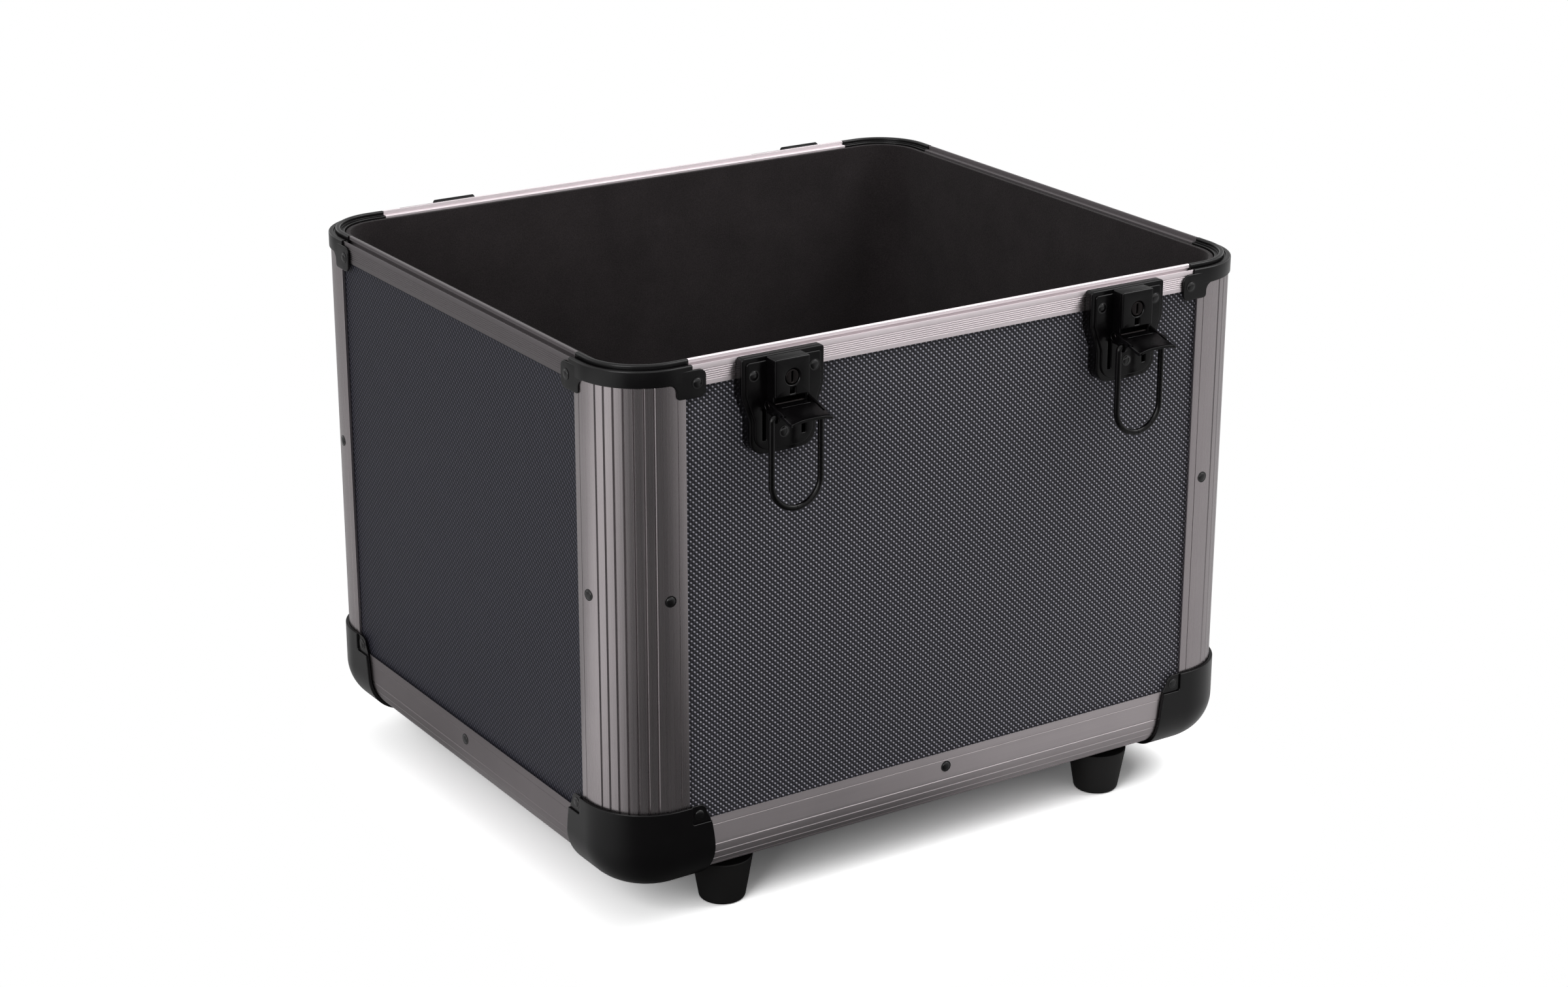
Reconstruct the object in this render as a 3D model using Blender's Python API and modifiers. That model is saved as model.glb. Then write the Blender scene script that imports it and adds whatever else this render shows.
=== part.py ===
"""Open carrying case: board panels held in aluminium extrusions, with moulded corners.

Lengths are in metres. The case stands on its feet at z = 0 and its front faces -Y.
Each side is drawn once in the frame of its own side: x runs along the side, y runs
inward from the outer face and z runs up. Each corner is drawn once in the frame of
the sharp corner that the rounding cuts off, with x and y running along the two sides.
"""
import math

import bmesh
import bpy
from mathutils import Matrix

# Driving sizes of the whole case
CASE_WIDTH = 0.3664
CASE_DEPTH = 0.312
SHOULDER_HEIGHT = 0.2798
GROUND_CLEARANCE = 0.0232
CORNER_RADIUS = 0.0314
CLEARANCE = 0.0003
OVERRUN = 0.003

# Aluminium wall, board and lining
SKIN = 0.0015
BOARD = 0.0038
LINING = 0.0025
LINING_DROP = 0.0008

# Corner posts
POST_FLANGE = 0.0051
POST_WEB = 0.001
POST_TOP_DROP = 0.008
FLUTE_COUNT = 7
FLUTE_PITCH = math.radians(8.6)
FLUTE_WIDTH = 0.001
FLUTE_DEPTH = 0.0004
LINE_WIDTH = 0.0006
LINE_DEPTH = 0.0003
LINE_SETBACK = 0.0042

# Top rims
RIM_HEIGHT = 0.0103
RIM_CHANNEL = 0.0057
RIM_LOWER_BAND = 0.0022
RIDGE_COUNT = 6
RIDGE_PITCH = 0.001
RIDGE_DEPTH = 0.00035
RIDGE_LAND_SHARE = 0.5
LIP_WIDTH = 0.0012
GROOVE_WIDTH = 0.0019
GROOVE_DEPTH = 0.001
TONGUE_WIDTH = 0.0016
TONGUE_RISE = 0.002
RIM_CHAMFER = 0.0002

# Bottom edges
EDGE_RADIUS = 0.0214
EDGE_REACH = 0.0338
EDGE_WEB = 0.002
EDGE_LINE_COUNT = 4
EDGE_LINE_FIRST = math.radians(6.0)
EDGE_LINE_PITCH = math.radians(13.0)
EDGE_CORE_END = math.radians(6.0)

# Top corner mouldings
CAP_PROUD = 0.0009
CAP_LEG = 0.008
CAP_BEAD = 0.0007
CAP_BEAD_RISE = 0.0002
CAP_VALLEY_WIDTH = 0.0009
CAP_VALLEY_DEPTH = 0.0009
CAP_RIDGE_WIDTH = 0.0026
TAB_PROUD = 0.0012
TAB_LENGTH = 0.015
TAB_DROP = 0.015
TAB_TOP_DROP = 0.002
TAB_CORNER = 0.0035
TAB_FILLET = 0.004

# Bottom corner mouldings
BALL_PROUD = 0.0019
BALL_TOP = 0.0081
BALL_UNDER = 0.008
BALL_EDGE = 0.0004
WING_LENGTH = 0.0108
WING_BOW = 0.0022
EAR_LENGTH = 0.0088
EAR_BOTTOM = 0.0003
EAR_CORNER = 0.004
EAR_RIM = 0.0005
EAR_DEPTH = 0.001

# Feet
FOOT_INSET_X = 0.0689
FOOT_INSET_Y = 0.0245
FOOT_TOP_RADIUS = 0.015
FOOT_BOTTOM_RADIUS = 0.0115
FOOT_ROUNDING = 0.0022
FOOT_BORE_RADIUS = 0.0045
FOOT_BORE_DEPTH = 0.006

# Latches: plate
LATCH_INSET = 0.0845
PLATE_HALF_WIDTH = 0.022
PLATE_LOWER_HALF_WIDTH = 0.0177
PLATE_HEIGHT = 0.0458
PLATE_STEP_TOP = 0.018
PLATE_STEP_BOTTOM = 0.030
PLATE_STAND = 0.006
PLATE_WALL = 0.0012
PLATE_TOP_CORNER = 0.0015
PLATE_BOTTOM_CORNER = 0.008
PLATE_BOTTOM_BOW = 0.001

# Latches: lock box and its cheeks
BOX_HALF_WIDTH = 0.0093
BOX_PROUD = 0.013
BOX_TOP_DROP = 0.0004
BOX_TOP_SLOPE = 0.0008
BOX_FRONT_DROP = 0.0187
CHEEK_DROP = 0.0269
CHEEK_SETBACK = 0.0016
KEYHOLE_DROP = 0.0096
NOTCH_DROP = 0.0159
NOTCH_WIDTH = 0.0026
NOTCH_HEIGHT = 0.003
BARREL_RADIUS = 0.0035
BARREL_SLOT = 0.0009
BARREL_SLOT_DEPTH = 0.003
BARREL_SLOT_SHARE = 0.75
BARREL_RECESS = 0.0004

# Latches: lever, its pin and the wire bail
PIVOT_STAND = 0.009
PIVOT_DROP = 0.0227
PIN_RADIUS = 0.0015
EAR_GAP = 0.0006
EAR_THICKNESS = 0.0013
EAR_BOSS = 0.0025
BAIL_EYE = 0.0027
BAIL_FORWARD = 0.0069
BAIL_BELOW = 0.0034
NECK_DIP = 0.0008
TONGUE_SHEET = 0.0014
TONGUE_START = 0.0054
TONGUE_TOP = 0.0006
TONGUE_TIP_DROP = 0.0022
TONGUE_LIP = 0.0022
LEVER_REACH = 0.030
LEVER_BACK = 0.0015
LEVER_NECK_GAP = 0.0003
BAIL_WIRE = 0.00145
BAIL_BEND = 0.0019
BAIL_SIDE_GAP = 0.0005
BAIL_DROP = 0.0447
SLOT_MARGIN = 0.0004
SLOT_DROP = 0.0397
SLOT_RISE = 0.0246

# Lift-off hinge halves on the back
HINGE_INSET = 0.0742
HINGE_WIDTH = 0.044
HINGE_KNUCKLE = 0.0032
HINGE_PIN = 0.0018
HINGE_DROP = 0.0016
HINGE_LEAF = 0.0015
HINGE_LEAF_HEIGHT = 0.036
HINGE_TIP = 0.0008

# Facets
CORNER_STEPS = 9
ROUND_STEPS = 20
SMALL_STEPS = 12
FILLET_STEPS = 4
SMOOTH_ANGLE = math.radians(30.0)
WELD = 0.000001

# Sizes worked out from those above
SLOT_OUTER = SKIN
BOARD_OUTER = SLOT_OUTER + CLEARANCE
BOARD_INNER = BOARD_OUTER + BOARD
SLOT_INNER = BOARD_INNER + CLEARANCE
WALL_DEPTH = SLOT_INNER + SKIN
LINING_OUTER = WALL_DEPTH + CLEARANCE
LINING_INNER = LINING_OUTER + LINING
POST_EDGE = CORNER_RADIUS + POST_FLANGE
POST_SLOT = CORNER_RADIUS + POST_WEB
POST_TOP = SHOULDER_HEIGHT - POST_TOP_DROP
RIM_BOTTOM = SHOULDER_HEIGHT - RIM_HEIGHT
RIM_SLOT_TOP = RIM_BOTTOM + RIM_CHANNEL
TONGUE_HEIGHT = SHOULDER_HEIGHT + TONGUE_RISE
EDGE_TOP = GROUND_CLEARANCE + EDGE_REACH
EDGE_SLOT = EDGE_RADIUS + EDGE_WEB
CAP_END = CORNER_RADIUS + CAP_LEG
RIM_START = CAP_END + CLEARANCE
EDGE_START = EDGE_REACH + CLEARANCE
TAB_END = CORNER_RADIUS + TAB_LENGTH
WING_EDGE = POST_EDGE + WING_LENGTH
EAR_EDGE = POST_EDGE + EAR_LENGTH
BALL_HEIGHT = EDGE_TOP + BALL_TOP
PIVOT_HEIGHT = SHOULDER_HEIGHT - PIVOT_DROP
LEVER_EAR_INNER = BOX_HALF_WIDTH + EAR_GAP
LEVER_EAR_OUTER = LEVER_EAR_INNER + EAR_THICKNESS
BAIL_HALF_WIDTH = LEVER_EAR_OUTER + BAIL_SIDE_GAP + BAIL_WIRE
HINGE_PROUD = 2 * HINGE_KNUCKLE + 2 * CLEARANCE

SIDES = ("front", "right", "back", "left")
SIDE_LENGTHS = (CASE_WIDTH, CASE_DEPTH, CASE_WIDTH, CASE_DEPTH)
CORNERS = ("front_left", "front_right", "back_right", "back_left")
QUARTER = math.pi / 2


def clear_scene():
    """Remove whatever objects the open file holds."""
    for old in list(bpy.data.objects):
        bpy.data.objects.remove(old)


def new_collection(name):
    """Make a collection in the scene."""
    made = bpy.data.collections.new(name)
    bpy.context.scene.collection.children.link(made)
    return made


def new_material(name, colour, metallic, roughness):
    """Make a Principled material with one linear colour."""
    made = bpy.data.materials.new(name)
    made.use_nodes = True
    shader = made.node_tree.nodes["Principled BSDF"]
    shader.inputs["Base Color"].default_value = (*colour, 1.0)
    shader.inputs["Metallic"].default_value = metallic
    shader.inputs["Roughness"].default_value = roughness
    made.diffuse_color = (*colour, 1.0)
    return made


def arc(centre, radius, start, end, steps):
    """Points on an arc from one angle to another, both ends included."""
    points = []
    for index in range(steps + 1):
        angle = start + (end - start) * index / steps
        points.append((centre[0] + radius * math.cos(angle), centre[1] + radius * math.sin(angle)))
    return points


def circle(centre, radius, steps):
    """Points round a full circle, without the repeated last one."""
    return arc(centre, radius, 0.0, 2 * math.pi, steps)[:-1]


def rounded(points, radii, steps=FILLET_STEPS):
    """Round the corners of a closed outline, each by its own radius."""
    result = []
    count = len(points)
    for index, (corner, radius) in enumerate(zip(points, radii)):
        before = points[index - 1]
        after = points[(index + 1) % count]
        if radius == 0:
            result.append(corner)
            continue
        back = (before[0] - corner[0], before[1] - corner[1])
        ahead = (after[0] - corner[0], after[1] - corner[1])
        back_length = math.hypot(*back)
        ahead_length = math.hypot(*ahead)
        back = (back[0] / back_length, back[1] / back_length)
        ahead = (ahead[0] / ahead_length, ahead[1] / ahead_length)
        half = math.acos(back[0] * ahead[0] + back[1] * ahead[1]) / 2
        run = radius / math.tan(half)
        middle = (back[0] + ahead[0], back[1] + ahead[1])
        middle_length = math.hypot(*middle)
        reach = radius / math.sin(half) / middle_length
        centre = (corner[0] + middle[0] * reach, corner[1] + middle[1] * reach)
        first = (corner[0] + back[0] * run, corner[1] + back[1] * run)
        last = (corner[0] + ahead[0] * run, corner[1] + ahead[1] * run)
        start = math.atan2(first[1] - centre[1], first[0] - centre[0])
        end = math.atan2(last[1] - centre[1], last[0] - centre[0])
        turn = (end - start + math.pi) % (2 * math.pi) - math.pi
        result.extend(arc(centre, radius, start, start + turn, steps))
    return result


def bowed(first, last, bow, steps):
    """Points from one to another along a shallow bow to the right of the line."""
    run = (last[0] - first[0], last[1] - first[1])
    length = math.hypot(*run)
    side = (run[1] / length, -run[0] / length)
    points = []
    for index in range(steps + 1):
        share = index / steps
        lift = bow * math.sin(math.pi * share)
        x = first[0] + run[0] * share + side[0] * lift
        y = first[1] + run[1] * share + side[1] * lift
        points.append((x, y))
    return points


def mirrored(points):
    """The same points across the line x = 0, in reverse order."""
    return [(-x, y) for x, y in reversed(points)]


def swapped(points):
    """The same points across the corner's diagonal, in reverse order."""
    return [(y, x) for x, y in reversed(points)]


def add_spline(curve, points, closed):
    """Add a polyline of 2D points to a curve."""
    spline = curve.splines.new("POLY")
    spline.points.add(len(points) - 1)
    for target, point in zip(spline.points, points):
        target.co = (*point, 0.0, 1.0) if len(point) == 2 else (*point, 1.0)
    spline.use_cyclic_u = closed


def mesh_of_curve(curve, name):
    """Turn a curve into a welded mesh whose faces point outwards."""
    carrier = bpy.data.objects.new(name, curve)
    bpy.context.scene.collection.objects.link(carrier)
    graph = bpy.context.evaluated_depsgraph_get()
    mesh = bpy.data.meshes.new_from_object(carrier.evaluated_get(graph))
    mesh.name = name
    bpy.data.objects.remove(carrier)
    bpy.data.curves.remove(curve)
    shape = bmesh.new()
    shape.from_mesh(mesh)
    bmesh.ops.remove_doubles(shape, verts=shape.verts, dist=WELD)
    face_outwards(shape)
    shape.to_mesh(mesh)
    shape.free()
    return mesh


def face_outwards(shape):
    """Turn a closed shape right side out."""
    if shape.calc_volume(signed=True) < 0:
        bmesh.ops.reverse_faces(shape, faces=shape.faces)


def across_diagonal(mesh):
    """The same mesh for a corner's other side."""
    swap = Matrix(((0, 1, 0, 0), (1, 0, 0, 0), (0, 0, 1, 0), (0, 0, 0, 1)))
    shape = bmesh.new()
    shape.from_mesh(mesh)
    bmesh.ops.transform(shape, matrix=swap, verts=shape.verts)
    face_outwards(shape)
    other = bpy.data.meshes.new(mesh.name + "_other")
    shape.to_mesh(other)
    shape.free()
    return other


def prism(name, outlines, low, high, along):
    """Extrude closed outlines between two places along x, y or z.

    The outline's two coordinates are (y, z), (x, z) or (x, y) in that order.
    """
    curve = bpy.data.curves.new(name, "CURVE")
    curve.dimensions = "2D"
    curve.fill_mode = "BOTH"
    curve.extrude = (high - low) / 2
    for points in outlines:
        add_spline(curve, points, True)
    mesh = mesh_of_curve(curve, name)
    middle = (low + high) / 2
    if along == "x":
        turn = Matrix(((0, 0, 1), (1, 0, 0), (0, 1, 0)))
        shift = (middle, 0.0, 0.0)
    elif along == "y":
        turn = Matrix(((1, 0, 0), (0, 0, -1), (0, 1, 0)))
        shift = (0.0, middle, 0.0)
    else:
        turn = Matrix.Identity(3)
        shift = (0.0, 0.0, middle)
    mesh.transform(Matrix.Translation(shift) @ turn.to_4x4())
    return mesh


def sweep(name, section, path, closed=False):
    """Carry a closed section along a flat path, with the section's x pointing out of the case.

    The section runs clockwise, and an open path runs anticlockwise round the case.
    A closed flat path is turned by its fill, which swaps the section's two sides.
    """
    if closed:
        section = mirrored(section)
    profile_curve = bpy.data.curves.new(name + "_section", "CURVE")
    profile_curve.dimensions = "2D"
    profile_curve.fill_mode = "NONE"
    add_spline(profile_curve, section, True)
    profile = bpy.data.objects.new(name + "_section", profile_curve)
    bpy.context.scene.collection.objects.link(profile)
    curve = bpy.data.curves.new(name, "CURVE")
    curve.dimensions = "2D"
    curve.bevel_mode = "OBJECT"
    curve.bevel_object = profile
    curve.use_fill_caps = not closed
    add_spline(curve, path, closed)
    mesh = mesh_of_curve(curve, name)
    bpy.data.objects.remove(profile)
    bpy.data.curves.remove(profile_curve)
    return mesh


def wire(name, points, radius):
    """A round wire along 3D points."""
    curve = bpy.data.curves.new(name, "CURVE")
    curve.dimensions = "3D"
    curve.bevel_depth = radius
    curve.bevel_resolution = 2
    curve.use_fill_caps = True
    add_spline(curve, points, False)
    return mesh_of_curve(curve, name)


def block(name, low, high):
    """A box between two corners."""
    mesh = bpy.data.meshes.new(name)
    shape = bmesh.new()
    size = [b - a for a, b in zip(low, high)]
    centre = [(a + b) / 2 for a, b in zip(low, high)]
    bmesh.ops.create_cube(shape, size=1.0, matrix=Matrix.Translation(centre) @ Matrix.Diagonal((*size, 1.0)))
    shape.to_mesh(mesh)
    shape.free()
    return mesh


def rod(name, centre, radius, low, high, steps=SMALL_STEPS):
    """A cylinder along y, which points inward in a side's frame; centre is (x, z)."""
    return prism(name, [circle(centre, radius, steps)], low, high, "y")


class Builder:
    """Puts pieces and their cutters into the scene."""

    def __init__(self):
        self.parts = new_collection("record_carrying_case")
        self.tools = new_collection("cutters")
        self.centre = self.empty("case_centre", (0.0, (LEVER_REACH - HINGE_PROUD) / 2, 0.0), 0.0, None)
        self.sides = []
        self.corners = []
        half_x = CASE_WIDTH / 2
        half_y = CASE_DEPTH / 2
        middles = ((0.0, -half_y), (half_x, 0.0), (0.0, half_y), (-half_x, 0.0))
        points = ((-half_x, -half_y), (half_x, -half_y), (half_x, half_y), (-half_x, half_y))
        for index, (name, middle) in enumerate(zip(SIDES, middles)):
            self.sides.append(self.empty("side_" + name, (*middle, 0.0), index * QUARTER, self.centre))
        for index, (name, point) in enumerate(zip(CORNERS, points)):
            self.corners.append(self.empty("corner_" + name, (*point, 0.0), index * QUARTER, self.centre))

    def empty(self, name, place, turn, parent):
        """An empty that carries a side, a corner or a latch."""
        made = bpy.data.objects.new(name, None)
        made.empty_display_size = CORNER_RADIUS
        made.location = place
        made.rotation_euler = (0.0, 0.0, turn)
        made.parent = parent
        self.parts.objects.link(made)
        return made

    def piece(self, name, mesh, material, parent, place=(0.0, 0.0, 0.0)):
        """A named piece with its material, shaded smooth except at its edges."""
        made = bpy.data.objects.new(name, mesh)
        made.location = place
        made.parent = parent
        if not mesh.materials:
            mesh.materials.append(material)
        mesh.shade_smooth()
        mesh.set_sharp_from_angle(angle=SMOOTH_ANGLE)
        self.parts.objects.link(made)
        return made

    def combine(self, piece, mesh, operation):
        """Cut a mesh out of a piece or join it on, with the mesh in the piece's own frame."""
        tool = bpy.data.objects.new(mesh.name, mesh)
        tool.location = piece.location
        tool.parent = piece.parent
        tool.hide_render = True
        tool.display_type = "WIRE"
        self.tools.objects.link(tool)
        change = piece.modifiers.new(mesh.name, "BOOLEAN")
        change.operation = operation
        change.solver = "EXACT"
        change.object = tool

    def cut(self, piece, mesh):
        """Cut a mesh out of a piece."""
        self.combine(piece, mesh, "DIFFERENCE")

    def join(self, piece, mesh):
        """Join a mesh onto a piece."""
        self.combine(piece, mesh, "UNION")


def groove(middle, width, depth, axis_is_x):
    """Three points of a fine V groove in a face that lies along x or along y."""
    if axis_is_x:
        return [(middle - width / 2, 0.0), (middle, depth), (middle + width / 2, 0.0)]
    return [(0.0, middle + width / 2), (depth, middle), (0.0, middle - width / 2)]


def grooved_arc(centre, radius, start, end, angles, width, depth, steps):
    """An arc with V grooves at the given angles and extra points on its long lands."""
    turn = 1.0 if end > start else -1.0
    half = turn * width / 2 / radius
    longest = abs(end - start) / steps
    points = []
    land_start = start
    for angle in [*angles, None]:
        land_end = end if angle is None else angle - half
        count = max(1, math.ceil(abs(land_end - land_start) / longest))
        points.extend(arc(centre, radius, land_start, land_end, count))
        if angle is not None:
            points.extend(arc(centre, radius - depth, angle, angle, 1)[:1])
            land_start = angle + half
    return points


def post_outline():
    """Plan section of a corner post: fluted outer skin, two board slots and a hollow core."""
    centre = (CORNER_RADIUS, CORNER_RADIUS)
    first = -(FLUTE_COUNT - 1) / 2
    angles = [1.25 * math.pi + (first + index) * FLUTE_PITCH for index in range(FLUTE_COUNT)]
    outer = grooved_arc(
        centre, CORNER_RADIUS, math.pi, 1.5 * math.pi, angles, FLUTE_WIDTH, FLUTE_DEPTH, CORNER_STEPS
    )
    leg = groove(POST_EDGE - LINE_SETBACK, LINE_WIDTH, LINE_DEPTH, True)
    leg.append((POST_EDGE, 0.0))
    leg.append((POST_EDGE, SLOT_OUTER))
    leg.append((POST_SLOT, SLOT_OUTER))
    leg.append((POST_SLOT, SLOT_INNER))
    leg.append((POST_EDGE, SLOT_INNER))
    leg.append((POST_EDGE, WALL_DEPTH))
    inner = arc(centre, CORNER_RADIUS - WALL_DEPTH, 1.5 * math.pi, math.pi, CORNER_STEPS)
    core = arc(centre, CORNER_RADIUS - SKIN, math.pi, 1.5 * math.pi, CORNER_STEPS)
    core.extend(arc(centre, CORNER_RADIUS - SLOT_INNER, 1.5 * math.pi, math.pi, CORNER_STEPS))
    return [outer + leg + inner + swapped(leg), core]


def rim_outline():
    """Section of a top rim: ridged face, lip, groove and tongue above a board channel."""
    face = [(0.0, RIM_BOTTOM)]
    land = RIDGE_PITCH * RIDGE_LAND_SHARE
    slope = (RIDGE_PITCH - land) / 2
    for index in range(RIDGE_COUNT):
        foot = RIM_BOTTOM + RIM_LOWER_BAND + index * RIDGE_PITCH
        face.append((0.0, foot))
        face.append((RIDGE_DEPTH, foot + slope))
        face.append((0.0, foot + 2 * slope))
    face.append((0.0, SHOULDER_HEIGHT - RIM_CHAMFER))
    face.append((RIM_CHAMFER, SHOULDER_HEIGHT))
    groove_end = LIP_WIDTH + GROOVE_WIDTH
    tongue_end = groove_end + TONGUE_WIDTH
    top = [
        (LIP_WIDTH, SHOULDER_HEIGHT),
        (LIP_WIDTH, SHOULDER_HEIGHT - GROOVE_DEPTH),
        (groove_end, SHOULDER_HEIGHT - GROOVE_DEPTH),
        (groove_end, TONGUE_HEIGHT - RIM_CHAMFER),
        (groove_end + RIM_CHAMFER, TONGUE_HEIGHT),
        (tongue_end - RIM_CHAMFER, TONGUE_HEIGHT),
        (tongue_end, TONGUE_HEIGHT - RIM_CHAMFER),
        (tongue_end, SHOULDER_HEIGHT),
        (WALL_DEPTH, SHOULDER_HEIGHT),
    ]
    channel = [
        (WALL_DEPTH, RIM_BOTTOM),
        (SLOT_INNER, RIM_BOTTOM),
        (SLOT_INNER, RIM_SLOT_TOP),
        (SLOT_OUTER, RIM_SLOT_TOP),
        (SLOT_OUTER, RIM_BOTTOM),
    ]
    return [face + top + channel]


def bottom_edge_outline():
    """Section of a bottom edge: rounded outer skin, a slot for the wall and one for the floor."""
    base = GROUND_CLEARANCE
    centre = (EDGE_RADIUS, base + EDGE_RADIUS)
    angles = [math.pi + EDGE_LINE_FIRST + index * EDGE_LINE_PITCH for index in range(EDGE_LINE_COUNT)]
    outer = grooved_arc(
        centre, EDGE_RADIUS, math.pi, 1.5 * math.pi, angles, FLUTE_WIDTH, FLUTE_DEPTH, CORNER_STEPS
    )
    line = groove(EDGE_TOP - LINE_SETBACK, LINE_WIDTH, LINE_DEPTH, False)
    floor_flanges = [
        (EDGE_REACH, base),
        (EDGE_REACH, base + SLOT_OUTER),
        (EDGE_SLOT, base + SLOT_OUTER),
        (EDGE_SLOT, base + SLOT_INNER),
        (EDGE_REACH, base + SLOT_INNER),
        (EDGE_REACH, base + WALL_DEPTH),
    ]
    inner = arc(centre, EDGE_RADIUS - WALL_DEPTH, 1.5 * math.pi, math.pi, CORNER_STEPS // 2)
    wall_flanges = [
        (WALL_DEPTH, EDGE_TOP),
        (SLOT_INNER, EDGE_TOP),
        (SLOT_INNER, base + EDGE_SLOT),
        (SLOT_OUTER, base + EDGE_SLOT),
        (SLOT_OUTER, EDGE_TOP),
        (0.0, EDGE_TOP),
    ]
    start = math.pi + EDGE_CORE_END
    end = 1.5 * math.pi - EDGE_CORE_END
    core = arc(centre, EDGE_RADIUS - SKIN, start, end, CORNER_STEPS)
    core.extend(arc(centre, EDGE_RADIUS - SLOT_INNER, end, start, CORNER_STEPS // 2))
    return [line + outer + floor_flanges + inner + wall_flanges, core]


def corner_path(leg_end):
    """Path round a corner on its outer faces, with a straight leg at each end."""
    centre = (CORNER_RADIUS, CORNER_RADIUS)
    points = [(0.0, leg_end)]
    points.extend(arc(centre, CORNER_RADIUS, math.pi, 1.5 * math.pi, CORNER_STEPS))
    points.append((leg_end, 0.0))
    return points


def cap_section():
    """Section of a top corner moulding, whose ridge carries on the rim's tongue."""
    bottom = POST_TOP + CLEARANCE
    bead_top = SHOULDER_HEIGHT + CAP_BEAD_RISE
    valley = SHOULDER_HEIGHT - CAP_VALLEY_DEPTH
    ridge_middle = LIP_WIDTH + GROOVE_WIDTH + TONGUE_WIDTH / 2
    ridge_out = ridge_middle - CAP_RIDGE_WIDTH / 2
    ridge_in = ridge_middle + CAP_RIDGE_WIDTH / 2
    bead = arc((CAP_PROUD - CAP_BEAD, bead_top - CAP_BEAD), CAP_BEAD, QUARTER, 0.0, 3)
    return [
        (-SLOT_OUTER, bottom),
        (-SLOT_OUTER, RIM_SLOT_TOP),
        (-SLOT_INNER, RIM_SLOT_TOP),
        (-SLOT_INNER, bottom),
        (-WALL_DEPTH, bottom),
        (-WALL_DEPTH, SHOULDER_HEIGHT),
        (-ridge_in, SHOULDER_HEIGHT),
        (-ridge_in, TONGUE_HEIGHT - CAP_BEAD),
        (-(ridge_in - CAP_BEAD), TONGUE_HEIGHT),
        (-(ridge_out + CAP_BEAD), TONGUE_HEIGHT),
        (-ridge_out, TONGUE_HEIGHT - CAP_BEAD),
        (-ridge_out, valley),
        (-(ridge_out - CAP_VALLEY_WIDTH), valley),
        *bead,
        (CAP_PROUD, bottom),
    ]


def tab_outline():
    """Face view of the rivet tab on a top corner, with a swept fillet under the band."""
    band = POST_TOP + CLEARANCE
    low = SHOULDER_HEIGHT - TAB_DROP
    high = SHOULDER_HEIGHT - TAB_TOP_DROP
    inner = CORNER_RADIUS
    fillet_centre = (inner - TAB_FILLET, band - TAB_FILLET)
    points = [(inner - TAB_FILLET, high)]
    points.extend(arc(fillet_centre, TAB_FILLET, QUARTER, 0.0, FILLET_STEPS))
    corners = [(inner, low), (TAB_END, low), (TAB_END, high)]
    limit = min(TAB_CORNER, (TAB_END - inner) / 3)
    outline = [*points, *corners]
    radii = [0.0] * len(points) + [limit / 2, limit, limit]
    return rounded(outline, radii)


def ball_section():
    """Section of a bottom corner moulding: a wall that curls under the case."""
    base = GROUND_CLEARANCE
    centre = (-EDGE_RADIUS, base + EDGE_RADIUS)
    inner_end = -(EDGE_RADIUS + BALL_UNDER)
    outer = arc(centre, EDGE_RADIUS + BALL_PROUD, 0.0, -QUARTER, CORNER_STEPS - 2)
    inner = arc(centre, EDGE_RADIUS + CLEARANCE, -QUARTER, 0.0, CORNER_STEPS - 2)
    return [
        (BALL_PROUD - BALL_EDGE, BALL_HEIGHT),
        (BALL_PROUD, BALL_HEIGHT - BALL_EDGE),
        *outer,
        (inner_end, base - BALL_PROUD),
        (inner_end, base - CLEARANCE),
        *inner,
        (CLEARANCE, BALL_HEIGHT),
    ]


def wing_trim():
    """Face view of what is trimmed off a bottom corner beyond its wing and its ear."""
    ear_bottom = EDGE_TOP + EAR_BOTTOM
    under = GROUND_CLEARANCE - BALL_PROUD - OVERRUN
    beyond = WING_EDGE + WING_BOW + OVERRUN
    wing = bowed((WING_EDGE, under), (WING_EDGE, ear_bottom), WING_BOW, 2 * FILLET_STEPS)
    centre = (EAR_EDGE - EAR_CORNER, BALL_HEIGHT - EAR_CORNER)
    corner = arc(centre, EAR_CORNER, 0.0, QUARTER, FILLET_STEPS)
    over = BALL_HEIGHT + OVERRUN
    return [*wing, *corner, (centre[0], over), (beyond, over), (beyond, under)]


def ear_recess():
    """Face view of the sunk seat of the rivet on a bottom corner's ear."""
    low = EDGE_TOP - EAR_RIM * 2
    left = POST_EDGE + EAR_RIM
    right = EAR_EDGE + OVERRUN
    high = BALL_HEIGHT + OVERRUN
    return rounded([(left, low), (right, low), (right, high), (left, high)], [2 * EAR_RIM, 0.0, 0.0, 0.0])


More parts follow.
